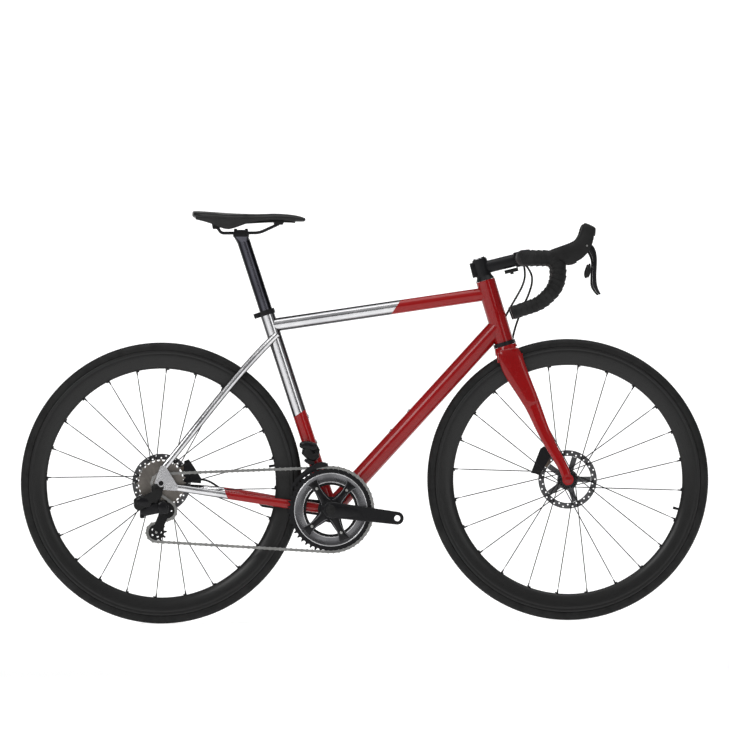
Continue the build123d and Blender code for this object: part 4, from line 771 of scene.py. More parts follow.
BLADE_ROWS = [(0.0, 0.8, 0.8), (0.05, 0.8, 0.8), (0.10, 1.15, 0.5), (0.92, 1.15, 0.5),
              (0.96, 0.8, 0.8), (1.0, 0.8, 0.8)]
BLADE_SIDES = 10


def bladed_spoke(outer, inner):
    """Flattened spoke: round at both ends and a thin wide blade between them."""
    along = (inner - outer).normalized()
    across = along.cross(Vector((0, 1, 0))).normalized()
    lateral = across.cross(along)
    rings = []
    for share, wide, thick in BLADE_ROWS:
        middle = outer.lerp(inner, share)
        ring = []
        for k in range(BLADE_SIDES):
            turn = math.tau * k / BLADE_SIDES
            sideways = across * (wide * MM * math.cos(turn))
            ring.append(middle + sideways + lateral * (thick * MM * math.sin(turn)))
        rings.append(ring)
    return grid_mesh("spoke", rings)


print("blade sections", len(BLADE_ROWS))


# %% [markdown]
# ## Spokes, nipples and valves
# Each spoke ends in a small nipple at the rim's nose. One mesh holds all nipples of a wheel
# and another one all its blades. The short pairs add stubs beside the nipples and at the hub;
# a test of the length between the ends would leave them out. A valve stands on the inner side
# of each rim.

# %% Spokes, nipples and valves
NIPPLE_RADII = [(0.0, 2.1 * MM), (0.45, 2.1 * MM), (0.5, 1.7 * MM), (1.0, 1.5 * MM)]
NIPPLE_SUNK = 1.0 * MM
NIPPLE_SHOWN = 9 * MM
for name, (hub, body) in WHEELS.items():
    pins = []
    blades = []
    for outer, inner in spoke_ends(name + "_spokes", hub):
        inward = (inner - outer).normalized()
        blades.append(bladed_spoke(outer, inner))
        root, tip = outer - inward * NIPPLE_SUNK, outer + inward * NIPPLE_SHOWN
        pins.append(turned_pin(root, tip, NIPPLE_RADII, 8))
    print(name, "pins, stubs included", len(pins))
    add_piece(name + "_nipples", joined(name + "_nipples", pins), body, SATIN)
    add_piece(name + "_bladed_spokes", joined(name + "_bladed_spokes", blades), body,
              SPOKE_BLACK, [name + "_spokes"])

VALVE_ANGLE = {"front": -15.5, "rear": 8.3}
VALVE_RADII = [(0.0, 4.6 * MM), (0.10, 4.6 * MM), (0.12, 3.0 * MM), (0.62, 3.0 * MM), (0.64, 3.4 * MM),
               (0.94, 3.2 * MM), (1.0, 2.2 * MM)]
VALVE_SUNK = 2 * MM
VALVE_SHOWN = 13 * MM
for name, (hub, body) in WHEELS.items():
    angle = math.radians(VALVE_ANGLE[name])
    out = Vector((math.cos(angle), 0, math.sin(angle)))
    pin = turned_pin(hub + out * (NOSE_R + VALVE_SUNK), hub + out * (NOSE_R - VALVE_SHOWN), VALVE_RADII, 20)
    add_piece(name + "_valve", pin, body, SATIN)
print("valves", len(VALVE_ANGLE))


# %% [markdown]
# ## Tubes that follow a line
# Handlebar tape and hoses are round sections along a smooth line. The line is a spline
# through route points; the ring at each step stays square to it.


# %% Tube tools
def rounded_route(points, radii, step=2.0 * MM):
    """Even points along straight runs joined by arcs of the given radii."""
    points = [Vector(p) * MM for p in points]
    path = [points[0]]
    for before, corner, after, radius in zip(points, points[1:], points[2:], radii):
        into = (corner - before).normalized()
        away = (after - corner).normalized()
        turn = into.angle(away)
        cut = radius * MM * math.tan(turn / 2)
        first, last = corner - into * cut, corner + away * cut
        inward = (away - into).normalized()
        middle = corner + inward * (radius * MM / math.cos(turn / 2))
        count = max(4, int(turn * radius * MM / step))
        a, b = first - middle, last - middle
        path.extend(
            middle + a.normalized().slerp(b.normalized(), k / count) * a.length for k in range(count + 1)
        )
    path.append(points[-1])
    return even_steps(path, step)


def even_steps(path, step):
    """The same line with points at even distances."""
    lengths = [0.0]
    for a, b in zip(path, path[1:]):
        lengths.append(lengths[-1] + (b - a).length)
    count = max(2, round(lengths[-1] / step))
    result = []
    k = 0
    for i in range(count + 1):
        want = lengths[-1] * i / count
        while k < len(path) - 2 and lengths[k + 1] < want:
            k += 1
        share = (want - lengths[k]) / max(lengths[k + 1] - lengths[k], 1e-9)
        result.append(path[k].lerp(path[k + 1], share))
    return result


def tube_rings(path, radius_at, sides=28):
    """Rings square to the path; radius_at(distance, angle) gives each point's radius."""
    normal = None
    rings = []
    travelled = 0.0
    for i, point in enumerate(path):
        ahead = path[min(i + 1, len(path) - 1)]
        behind = path[max(i - 1, 0)]
        along = (ahead - behind).normalized()
        if normal is None:
            normal = along.orthogonal().normalized()
        normal = (normal - along * normal.dot(along)).normalized()
        other = along.cross(normal)
        if i:
            travelled += (point - path[i - 1]).length
        ring = []
        for k in range(sides):
            angle = 2 * math.pi * k / sides
            radius = radius_at(travelled, angle)
            ring.append(point + normal * (radius * math.cos(angle)) + other * (radius * math.sin(angle)))
        rings.append(ring)
    return rings


def line_length(line):
    """Sum of the steps along a line of points."""
    return sum((b - a).length for a, b in zip(line, line[1:]))


print("tube tools ready")


# %% [markdown]
# ## Handlebar tape
# The tape is wound with an overlap, so its outside is a low saw-tooth helix: the thickness
# falls over one turn and steps up again at the next edge. The height depends on distance
# minus the turn angle, which makes the edge spiral. A band of smooth tape closes the inner end and a
# plug the outer one.

# %% Handlebar tape
BAR_CENTRE = Vector((383.4, 0.0, 865.9))
BAR_ROUTE = [
    (BAR_CENTRE.x, 58.0, BAR_CENTRE.z), (BAR_CENTRE.x, 207.0, BAR_CENTRE.z), (467.0, 210.0, 865.0),
    (466.0, 210.0, 798.0), (424.0, 212.0, 757.5), (356.1, 215.0, 735.0),
]
BAR_RADII = [38.0, 27.0, 70.0, 90.0]
TAPE_R = 16.0 * MM
TAPE_SUNK = 1.3 * MM
TAPE_STEP = 1.1 * MM
WRAP = 13.5 * MM
LAP = 1.9 * MM
LAP_GROOVE = 0.7 * MM
LAP_START = 6 * MM
SWELL = 2.6 * MM
SWELL_RISE = 25 * MM
SWELL_FALL = 150 * MM


def tape_radius(side, length):
    """Radius of a wound grip: thicker between its ends, with a raised lap at every turn."""
    def radius(travelled, angle):
        swell = SWELL * min(1.0, travelled / SWELL_RISE, (length - travelled) / SWELL_FALL)
        turn = (travelled / WRAP - side * angle / (2 * math.pi)) % 1.0
        lap = LAP * (1 - turn) ** 1.2 - LAP_GROOVE * math.exp(-((turn - 0.96) / 0.05) ** 2)
        fade = min(1.0, travelled / LAP_START)
        return TAPE_R - TAPE_SUNK + swell + lap * fade
    return radius


PLUG_RADII = [(0.0, 15.6 * MM), (0.6, 15.6 * MM), (0.85, 14.4 * MM), (1.0, 11.5 * MM)]
BAND_POINT = 14
BAND_RADII = [(0.0, 15.3 * MM), (0.03, 16.35 * MM), (0.97, 16.35 * MM), (1.0, 15.3 * MM)]


for name, side in SIDES.items():
    route = [(x, side * y, z) for x, y, z in BAR_ROUTE]
    path = rounded_route(route, BAR_RADII, TAPE_STEP)
    mesh = grid_mesh(name + "_tape_wrap", tube_rings(path, tape_radius(side, line_length(path)), 40))
    add_piece(name + "_tape_wrap", mesh, "steering", TAPE, ["bar_tape"])
    tail = (path[-1] - path[-2]).normalized()
    plug = turned_pin(path[-1], path[-1] + tail * 3.0 * MM, PLUG_RADII, 32)
    add_piece(name + "_bar_plug", plug, "steering", PLASTIC)
    ahead = (path[BAND_POINT] - path[0]).normalized()
    band = turned_pin(path[0] - ahead * 1.5 * MM, path[0] + ahead * 13 * MM, BAND_RADII, 40)
    add_piece(name + "_tape_band", band, "steering", HOSE)
print("tape wraps per side", round(len(path) * TAPE_STEP / WRAP))


# %% [markdown]
# ## Hoods, levers and shift buttons
# A hood is one rubber moulding that swells round the bar and rises to a thumb-high horn.
# Twelve rounded sections describe it. The slot in its front is cut out so that the brake lever
# can swing. The lever blade is a thin shell, wide where the fingers pull.


# %% Tools for the hoods
def side_stations(rows, y):
    """Rows of (front x, front z, back x, back z, half width) in millimetres, as stations at y."""
    return [
        (Vector((ax, y, az)) * MM, Vector((bx, y, bz)) * MM, half * MM)
        for ax, az, bx, bz, half in rows
    ]


def prism(outline, y0, y1):
    """Straight-sided body of an outline in the side view, between y0 and y1, in millimetres."""
    rings = [[Vector((x, y, z)) * MM for x, z in outline] for y in (y0, y1)]
    return grid_mesh("prism", rings)


def carve(piece, cutter_mesh):
    """Cuts cutter_mesh out of a piece for good."""
    cutter = bpy.data.objects.new("cutter", cutter_mesh)
    bpy.context.scene.collection.objects.link(cutter)
    cut = piece.modifiers.new("cut", "BOOLEAN")
    cut.operation = "DIFFERENCE"
    cut.solver = "EXACT"
    cut.object = cutter
    bpy.context.view_layer.update()
    result = bpy.data.meshes.new_from_object(piece.evaluated_get(bpy.context.evaluated_depsgraph_get()))
    piece.modifiers.remove(cut)
    old = piece.data
    piece.data = result
    bpy.data.meshes.remove(old)
    bpy.data.objects.remove(cutter)
    return piece


def shade_by_angle(mesh, degrees=35.0):
    """Smooth shading with sharp creases where faces meet above an angle."""
    mesh.shade_smooth()
    build = bmesh.new()
    build.from_mesh(mesh)
    for edge in build.edges:
        if len(edge.link_faces) == 2:
            edge.smooth = edge.calc_face_angle(0.0) < math.radians(degrees)
    build.to_mesh(mesh)
    build.free()


print("hood tools ready")


# %% Hoods, levers and shift buttons
HOOD_Y = 209.0
HOOD_ROWS = [
    (439, 880, 452, 861, 16.6), (449, 885, 462, 858, 17.0), (462, 889.5, 474, 853.5, 17.0),
    (478, 895, 487, 848.5, 16.0), (494, 900.5, 501, 848.5, 15.0), (506, 907, 519, 855.5, 14.4),
    (511, 911, 534, 868, 14.4), (516, 919, 546, 886, 14.6), (519, 927, 551.5, 903, 14.4),
    (521, 935, 554.5, 918, 13.6), (523.5, 942, 555.8, 929, 12.4), (528, 947.5, 555.6, 934.5, 9.5),
]
LEVER_ROOM = [(566, 916), (547, 916), (531, 908), (520, 898), (509, 872), (509, 838), (566, 838)]
LEVER_SLOT = 8.2
LEVER_PIN_HALF = 15.2 * MM
LEVER_PIN_RADII = [(0.0, 1.2 * MM), (0.04, 2.4 * MM), (0.96, 2.4 * MM), (1.0, 1.2 * MM)]
PADDLE_OFFSETS = (-3.0, 3.0)
LEVER_ROWS = [
    (533, 899, 529, 886.5, 5.4), (542, 898.5, 538, 883, 5.6), (550.5, 892.5, 544, 871.5, 6.0),
    (556.5, 879, 547.5, 862, 6.4), (558.3, 860, 548.2, 852, 7.0), (557.2, 842, 547.6, 838, 7.4),
    (556, 824, 546.3, 822, 7.6), (556.2, 806, 545.6, 803, 7.6), (558.6, 794, 547.5, 794, 7.4),
    (562.3, 785, 553.5, 785, 6.8), (566.2, 778, 560.0, 777.5, 5.4),
]
BUTTON_ROWS = [
    (542, 849.5, 538, 850, 2.2), (543.3, 840, 534.5, 841.5, 2.5), (542.8, 831, 531.4, 832.5, 2.6),
    (541.2, 824, 530.6, 825, 2.6), (537.5, 817.5, 533.0, 819, 2.2),
]
for name, side in SIDES.items():
    y = side * HOOD_Y
    mesh = hull_mesh(name + "_hood", side_stations(HOOD_ROWS, y), 32, 2.35, 0.4)
    hood = add_piece(name + "_hood", mesh, "steering", HOOD, ["lever_hoods"])
    refine(hood)
    hood = carve(hood, prism(LEVER_ROOM, y - LEVER_SLOT, y + LEVER_SLOT))
    hood.modifiers.clear()
    shade_by_angle(hood.data)
    lever_mesh = hull_mesh(name + "_lever_blade", side_stations(LEVER_ROWS, y), 24, 2.8)
    lever = add_piece(name + "_lever_blade", lever_mesh, name + "_lever",
                      GLOSS_BLACK, ["brake_lever_" + name])
    refine(lever)
    pivot = LEVER_PIVOT[name]
    half = Vector((0, LEVER_PIN_HALF, 0))
    pin = turned_pin(pivot - half, pivot + half, LEVER_PIN_RADII, 20)
    add_piece(name + "_lever_pin", pin, "steering", NICKEL)
    paddles = []
    for offset in PADDLE_OFFSETS:
        paddles.append(hull_mesh("paddle", side_stations(BUTTON_ROWS, y + offset), 16, 2.6))
    buttons = add_piece(name + "_shift_paddles", joined(name + "_shift_paddles", paddles),
                        name + "_shifter", PLASTIC, ["shift_buttons_" + name])
    refine(buttons)
print("hood faces", len(hood.data.polygons), "lever faces", len(lever.data.polygons))


# %% [markdown]
# ## Saddle
# The padding is a hull of rounded sections with a shallow channel down the middle. The cover
# is pulled under the edge, and a seam runs round the widest line. The bottom is the shell.
# Each row of numbers is (x, half width, top, bottom) in millimetres, from the tail forwards.


# %% Saddle cover
SADDLE = [
    (-403.0, 47.0, 984.0, 970.0), (-392.0, 58.0, 984.3, 966.5), (-380.0, 65.0, 983.4, 963.5),
    (-345.0, 71.0, 980.8, 959.5), (-300.0, 59.0, 977.8, 957.0), (-255.0, 37.0, 976.4, 958.0),
    (-205.0, 23.5, 976.8, 959.5),
    (-170.0, 19.5, 974.2, 958.0), (-150.0, 16.0, 970.5, 957.6), (-140.0, 12.0, 967.2, 957.8),
]


def smooth_rows(rows, count):
    """Catmull-Rom interpolation of the number rows, at even steps."""
    result = []
    last = len(rows) - 1
    for i in range(count + 1):
        at = i / count * last
        k = min(int(at), last - 1)
        t = at - k
        p0, p1, p2, p3 = (rows[min(max(k + d, 0), last)] for d in (-1, 0, 1, 2))
        row = []
        for a, b, c, d in zip(p0, p1, p2, p3):
            bend = 2 * a - 5 * b + 4 * c - d
            twist = 3 * b - a - 3 * c + d
            row.append(0.5 * (2 * b + (c - a) * t + bend * t * t + twist * t ** 3))
        result.append(row)
    return result


CHANNEL_DEPTH = 2.6
CHANNEL_MIDDLE = -300
CHANNEL_REACH = 62
CHANNEL_HALF = 9.0
CROWN_HEIGHT = 1.6
COVER_POINTS = 56


def saddle_ring(x, half, top, bottom, size=1.0, shift=0.0):
    """One section of the cover, domed on top and with the channel pressed into it."""
    middle, rise = (top + bottom) / 2, (top - bottom) / 2
    channel = CHANNEL_DEPTH * math.exp(-((x - CHANNEL_MIDDLE) / CHANNEL_REACH) ** 4)
    ring = []
    for c, s in superellipse(COVER_POINTS, 2.5):
        y = half * c * size
        z = middle + rise * s * size
        if s > 0:
            dome = CROWN_HEIGHT * (1 - c * c) * min(1, half / 40)
            z += dome - channel * math.exp(-(y / CHANNEL_HALF) ** 2)
        ring.append(Vector((x + shift, y, z)) * MM)
    return ring


TAIL_END = ((0.35, -3.2), (0.75, -2.4))
NOSE_END = ((0.8, 3.0), (0.4, 4.6))
rows = smooth_rows(SADDLE, 54)
rings = [saddle_ring(*rows[0], size=size, shift=shift) for size, shift in TAIL_END]
rings += [saddle_ring(*row) for row in rows]
rings += [saddle_ring(*rows[-1], size=size, shift=shift) for size, shift in NOSE_END]
saddle = add_piece("saddle_cover", grid_mesh("saddle_cover", rings), "seat", LEATHER,
                   ["saddle_padding"])
refine(saddle)
print("saddle", len(saddle.data.polygons), "faces")


# %% [markdown]
# ## Saddle skirts and seams
# Below the padding the cover runs down the side of the shell as a thin skirt, deepest where
# the sitting bones press. A raised seam line sits on each side at the widest point.

# %% Saddle skirts and seams
SKIRT = [
    (-398.0, 50.0, 972.0, 965.5), (-380.6, 63.5, 970.0, 961.0), (-360.1, 68.0, 968.0, 954.5),
    (-337.4, 69.0, 967.0, 945.0), (-321.4, 65.0, 966.0, 941.4), (-307.5, 60.0, 965.5, 944.0),
    (-289.2, 52.0, 965.0, 950.0), (-275.4, 45.5, 965.0, 954.4), (-252.7, 35.0, 965.0, 959.0),
    (-229.6, 28.0, 965.0, 962.0),
]
for name, side in SIDES.items():
    skirt_rings = []
    for x, half, top, bottom in smooth_rows(SKIRT, 40):
        low = half - 0.22 * (top - bottom)
        corners = ((half, top), (low, bottom), (low - 2.4, bottom + 0.6), (half - 3.0, top))
        skirt_rings.append([Vector((x, side * y, z)) * MM for y, z in corners])
    mesh = grid_mesh(name + "_saddle_skirt", skirt_rings)
    skirt = add_piece(name + "_saddle_skirt", mesh, "seat", LEATHER)
    soften(skirt, 0.8 * MM, 3)
    shade_by_angle(skirt.data, 50)

SEAM_R = 0.55 * MM
SEAM_POINT = {"left": 55, "right": 29}
for name, point in SEAM_POINT.items():
    line = even_steps([ring[point] for ring in rings[3:-3]], 1.5 * MM)
    mesh = grid_mesh(name + "_saddle_seam", tube_rings(line, lambda distance, angle: SEAM_R, 8))
    add_piece(name + "_saddle_seam", mesh, "seat", LEATHER)
print("skirt", len(skirt.data.polygons), "faces, seam", round(line_length(line), 3), "m")


# %% [markdown]
# ## Brake hoses
# Each hose is a true curve with a round section, so it keeps its length and thickness. The
# front hose goes from the tape into the fork crown. The rear hose goes into the head tube and
# is fixed in place; it does not follow the bars. A short hose comes out of the chainstay and
# ends at the rear caliper.


# %% Hose tools
def hose_curve(name, route, radius):
    """Spline through route points in millimetres, with a round section."""
    curve = bpy.data.curves.new(name, "CURVE")
    curve.dimensions = "3D"
    curve.bevel_depth = radius
    curve.bevel_resolution = 4
    curve.resolution_u = 12
    curve.use_fill_caps = True
    line = curve.splines.new("NURBS")
    line.points.add(len(route) - 1)
    for point, place in zip(line.points, route):
        point.co = (*(Vector(place) * MM), 1.0)
    line.order_u = 3
    line.use_endpoint_u = True
    curve.materials.append(HOSE)
    hose = bpy.data.objects.new(name, curve)
    bpy.context.scene.collection.objects.link(hose)
    return hose


def bezier_line(route, per=10):
    """Points of the quadratic B-spline through route, per points on each of its arcs."""
    points = [Vector(p) * MM for p in route]
    middles = [points[0]] + [(a + b) / 2 for a, b in zip(points[1:-2], points[2:-1])] + [points[-1]]
    line = [points[0]]
    for k, corner in enumerate(points[1:-1]):
        start, end = middles[k], middles[k + 1]
        for i in range(1, per + 1):
            t = i / per
            line.append(start * (1 - t) ** 2 + corner * 2 * t * (1 - t) + end * t * t)
    return line


def route_length(route):
    """Length of a hose, measured on a finely divided line."""
    return line_length(bezier_line(route, 49))


def hose_mesh(name, route):
    """Round tube along the route, with the line it follows."""
    line = bezier_line(route)
    mesh = grid_mesh(name, tube_rings(line, lambda distance, angle: HOSE_R, 16))
    hose = bpy.data.objects.new(name, mesh)
    bpy.context.scene.collection.objects.link(hose)
    mesh.materials.append(HOSE)
    return hose, line


HOSE_R = 2.5 * MM
print("hose radius", HOSE_R)


# %% Front hose
FRONT_HOSE = [
    (390, 61, 850.5), (404, 57, 832), (406, 50, 808), (397, 41, 780), (384, 35, 752),
    (371, 32, 722), (361, 30, 692), (355, 28.5, 664), (353, 27.5, 640),
]
front_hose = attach(hose_curve("front_hose", FRONT_HOSE, HOSE_R), "steering")
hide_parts("front_brake_hose")
print("front hose route", len(FRONT_HOSE), "points")


# %% Rear hose and caliper hose
REAR_HOSE = [
    (385, -61, 849), (389, -54, 826), (382, -40, 800), (368, -24, 775), (354, -9, 752),
    (341, -1, 728), (335, 0, 716),
]
CALIPER_HOSE = [(-346, 54.5, 322), (-358, 56, 331), (-372, 57, 339), (-384, 56.5, 343), (-394, 55.7, 344)]
rear_hose, rear_line = hose_mesh("rear_hose", REAR_HOSE)
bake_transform(rear_hose)
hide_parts("rear_brake_hose")
caliper_hose, caliper_line = hose_mesh("caliper_hose", CALIPER_HOSE)
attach(caliper_hose, "frame")
for name, route in (("front", FRONT_HOSE), ("rear", REAR_HOSE), ("caliper", CALIPER_HOSE)):
    print(name, "hose", round(route_length(route), 4), "m")


# %% [markdown]
# ## Crankset
# The outer chainring has a deep grey crown with polished edges, and the four star arms carry
# a grey line along both sides. Small sleeve bolts hold the rings.

# %% Crown of the chainring
CRANK_ANGLE = -7.8
ARM_ANGLES = (58.0, 131.0, 229.0, 302.0)
CROWN_IN, CROWN_OUT = 65.0 * MM, 88.0 * MM
CROWN_FACE, CROWN_BACK = -51.2 * MM, -48.3 * MM
LINE_FACE, LINE_ROOT = CROWN_FACE - 0.25 * MM, CROWN_FACE + 0.6 * MM
RING_STEPS = 144
crown_profile = [
    (CROWN_BACK, CROWN_IN), (CROWN_FACE + 0.5 * MM, CROWN_IN), (CROWN_FACE, CROWN_IN + 1.2 * MM),
    (CROWN_FACE + 0.9 * MM, CROWN_IN + 4 * MM), (CROWN_FACE + 0.9 * MM, CROWN_OUT - 5 * MM),
    (CROWN_FACE, CROWN_OUT - 1.6 * MM), (CROWN_FACE + 0.8 * MM, CROWN_OUT), (CROWN_BACK, CROWN_OUT),
]
crown_mesh = turned("chainring_crown", BB, crown_profile, RING_STEPS)
crown = add_piece("chainring_crown", crown_mesh, "crankset", GREY_ALLOY)
shade_by_angle(crown.data, 30)
edge_profiles = {
    "crown_outer_line": [(LINE_FACE, CROWN_OUT - 2.4 * MM), (LINE_FACE, CROWN_OUT - 0.6 * MM),
                         (LINE_ROOT, CROWN_OUT - 0.2 * MM), (LINE_ROOT, CROWN_OUT - 2.8 * MM)],
    "crown_inner_line": [(LINE_FACE, CROWN_IN + 0.3 * MM), (LINE_FACE, CROWN_IN + 1.8 * MM),
                         (LINE_ROOT, CROWN_IN + 2.2 * MM), (LINE_ROOT, CROWN_IN + 0.1 * MM)],
}
for name, points in edge_profiles.items():
    mesh = turned(name, BB, points, RING_STEPS)
    add_piece(name, mesh, "crankset", BRIGHT_ALLOY)
print("crown from radius", CROWN_IN, "to", CROWN_OUT)


# %% Star of the crankset
def along_angle(degrees):
    """Unit vector in the side view, degrees up from straight ahead."""
    angle = math.radians(degrees)
    return Vector((math.cos(angle), 0, math.sin(angle)))


def star_stations(degrees, rows, y):
    """Stations out along a spoke of the star; rows are (distance, half width in view, half depth)."""
    out = along_angle(degrees)
    side = Vector((-out.z, 0, out.x))
    base = BB + Vector((0, y, 0))
    return [
        (base + out * (d * MM) + side * (w * MM), base + out * (d * MM) - side * (w * MM), t * MM)
        for d, w, t in rows
    ]


STAR_ROWS = [(8, 17, 4.6), (18, 12.5, 4.4), (28, 9.0, 4.0), (42, 7.2, 3.6), (56, 7.4, 3.4),
             (68, 9.6, 3.0), (78, 13.5, 2.6)]
STAR_Y = -55.4 * MM
LINE_R = 0.85 * MM
BOLT_CIRCLE = 60
BOLT_FOOT, BOLT_HEAD = Vector((0, -57.2 * MM, 0)), Vector((0, -59.6 * MM, 0))
BOLT_RADII = [(0.0, 3.6 * MM), (0.7, 3.6 * MM), (1.0, 2.8 * MM)]
arms, lines = [], []
for degrees in ARM_ANGLES:
    stations = star_stations(CRANK_ANGLE + degrees, STAR_ROWS, STAR_Y)
    arms.append(hull_mesh("star_arm", stations, 20, 3.4, 0.3))
    for edge in (0, 1):
        points = [station[edge] + Vector((0, -station[2] * 0.72, 0)) for station in stations[1:]]
        line = even_steps(points, 2.0 * MM)
        lines.append(grid_mesh("line", tube_rings(line, lambda distance, angle: LINE_R, 8)))
star = add_piece("star_arms", joined("star_arms", arms), "crankset", GLOSS_BLACK)
refine(star)
add_piece("star_arm_lines", joined("star_arm_lines", lines), "crankset", GREY_ALLOY)
bolts = []
for degrees in ARM_ANGLES:
    place = BB + along_angle(CRANK_ANGLE + degrees) * BOLT_CIRCLE * MM
    bolts.append(turned_pin(place + BOLT_FOOT, place + BOLT_HEAD, BOLT_RADII, 18))
add_piece("ring_bolts", joined("ring_bolts", bolts), "crankset", NICKEL)
print("star faces", len(star.data.polygons), "bolts", len(bolts))


# %% Crank arms
CRANK_ROWS = [(-6, 19.5, 7.6), (8, 20.5, 8.0), (26, 18.6, 7.4), (55, 16.6, 6.6), (95, 15.4, 6.2),
              (135, 15.0, 6.2), (160, 15.4, 6.2), (168, 12.0, 6.0)]
CRANK_Y = 66.6
PEDAL_EYE = 160
PEDAL_EYE_RADII = [(0.0, 7.2 * MM), (1.0, 7.2 * MM)]
CAP_HEIGHT = 9.4
CAP_RADII = [(0.0, 11.5 * MM), (0.86, 11.5 * MM), (0.9, 10.2 * MM), (0.93, 6.0 * MM), (1.0, 5.4 * MM)]
for name, flip, y in (("right", 0.0, -CRANK_Y), ("left", 180.0, CRANK_Y)):
    stations = star_stations(CRANK_ANGLE + flip, CRANK_ROWS, y * MM)
    mesh = hull_mesh(name + "_arm_shell", stations, 32, 3.6, 0.6)
    shell = add_piece(name + "_arm_shell", mesh, "crankset", GLOSS_BLACK)
    eye = BB + along_angle(CRANK_ANGLE + flip) * PEDAL_EYE * MM
    near, far = Vector((0, (y - 20) * MM, 0)), Vector((0, (y + 20) * MM, 0))
    refine(shell)
    shell = carve(shell, turned_pin(eye + near, eye + far, PEDAL_EYE_RADII, 40))
    shell.modifiers.clear()
    shade_by_angle(shell.data)
    cap_face = y + math.copysign(CAP_HEIGHT, y)
    cap = turned_pin(BB + Vector((0, y * MM, 0)), BB + Vector((0, cap_face * MM, 0)), CAP_RADII, 36)
    add_piece(name + "_axle_cap", cap, "crankset", PLASTIC)
print("pedal eyes at", PEDAL_EYE, "mm from the axle")


# %% [markdown]
# ## Fork shoulders
# Each blade leaves the crown as a broad rounded shoulder beside the tyre, and only lower down
# does it narrow. A red plug closes the axle hole on the drive side. Each row of the shoulder
# is (rear x, rear z), (front x, front z), distance from the middle and half width.

# %% Fork shoulders
SHOULDER = [
    ((319.4, 643.7), (370.6, 652.8), 24.6, 9.6), ((323.9, 616.4), (380.0, 635.3), 26.0, 10.8),
    ((333.3, 590.7), (386.3, 612.7), 27.8, 10.6), ((350.7, 561.9), (397.2, 583.7), 30.0, 10.0),
    ((368.5, 536.2), (407.7, 556.0), 32.2, 9.0), ((386.0, 506.0), (419.0, 524.0), 34.8, 8.0),
]
for name, side in SIDES.items():
    stations = []
    for rear, front, y, half in SHOULDER:
        behind = Vector((rear[0], side * y, rear[1])) * MM
        ahead = Vector((front[0], side * y, front[1])) * MM
        stations.append((behind, ahead, half * MM))
    mesh = hull_mesh(name + "_fork_shoulder", stations, 32, 2.8, 0.4)
    shoulder = add_piece(name + "_fork_shoulder", mesh, "steering", RED_PAINT)
    refine(shoulder)
AXLE_PLUG_RADII = [(0.0, 9.6 * MM), (0.55, 9.4 * MM), (1.0, 7.6 * MM)]
plug_foot, plug_face = Vector((0, -58.0 * MM, 0)), Vector((0, -59.6 * MM, 0))
plug = turned_pin(FRONT_HUB + plug_foot, FRONT_HUB + plug_face, AXLE_PLUG_RADII, 32)
add_piece("axle_hole_plug", plug, "steering", RED_PAINT)
print("shoulder faces", len(shoulder.data.polygons))


# %% [markdown]
# ## Changers
# The front changer's cage is two thin plates that follow the chainring, joined at the top and
# the tail. Its motor sits in a rounded housing on the seat tube. The rear changer is a chain
# of rounded housings: the mount with its motor, the link, the knuckle and the pulley cage.

# %% Front changer cage
def arc_plate(y, thick, rows):
    """Curved plate round the bottom bracket; rows are (degrees, inner radius, outer radius)."""
    rings = []
    for degrees, inner, outer in smooth_rows(rows, 28):
        out = along_angle(degrees)
        base = BB + Vector((0, y * MM, 0))
        a, b = base + out * inner * MM, base + out * outer * MM
        half = Vector((0, thick / 2 * MM, 0))
        rings.append([a - half, b - half, b + half, a + half])
    return grid_mesh("arc_plate", rings)


OUTER_ROWS = [(93, 103.0, 111.0), (101, 103.0, 114.0), (114, 103.5, 114.5), (129, 104.0, 111.5),
              (142, 104.5, 110.5), (151, 105.5, 111.0)]
INNER_ROWS = [(95, 100.0, 113.0), (104, 99.0, 116.5), (120, 99.0, 113.5), (138, 100.5, 110.0),
              (149, 103.5, 110.0)]
PLATE_THICK = 1.6
OUTER_Y, INNER_Y = -53.0, -39.2
BRIDGES = ((104.0, 113.6, 2.6), (150.0, 108.4, 2.4))
BRIDGE_OUT, BRIDGE_IN = Vector((0, -53.2 * MM, 0)), Vector((0, -39.0 * MM, 0))
plates = [arc_plate(OUTER_Y, PLATE_THICK, OUTER_ROWS), arc_plate(INNER_Y, PLATE_THICK, INNER_ROWS)]
for degrees, radius, size in BRIDGES:
    middle = BB + along_angle(degrees) * radius * MM
    bridge_radii = [(0.0, size * MM), (1.0, size * MM)]
    plates.append(turned_pin(middle + BRIDGE_OUT, middle + BRIDGE_IN, bridge_radii, 14))
cage = add_piece("front_cage_plates", joined("front_cage_plates", plates), "front_changer",
                 SATIN, ["front_derailleur_cage"])
soften(cage, 0.4 * MM, 2)
shade_by_angle(cage.data, 40)
print("cage plates", len(cage.data.polygons), "faces")


# %% Rounded housings
def blob(name, centres, y, body, material, power=2.8, count=28):
    """Rounded housing through circles (x, z, radius, half depth) in millimetres."""
    stations = []
    points = [Vector((x, y, z)) * MM for x, z, r, t in centres]
    for k, (x, z, r, t) in enumerate(centres):
        ahead = points[min(k + 1, len(points) - 1)] - points[max(k - 1, 0)]
        side = Vector((-ahead.z, 0, ahead.x)).normalized() * r * MM
        stations.append((points[k] + side, points[k] - side, t * MM))
    piece = add_piece(name, hull_mesh(name, stations, count, power, 1.2), body, material)
    return refine(piece)


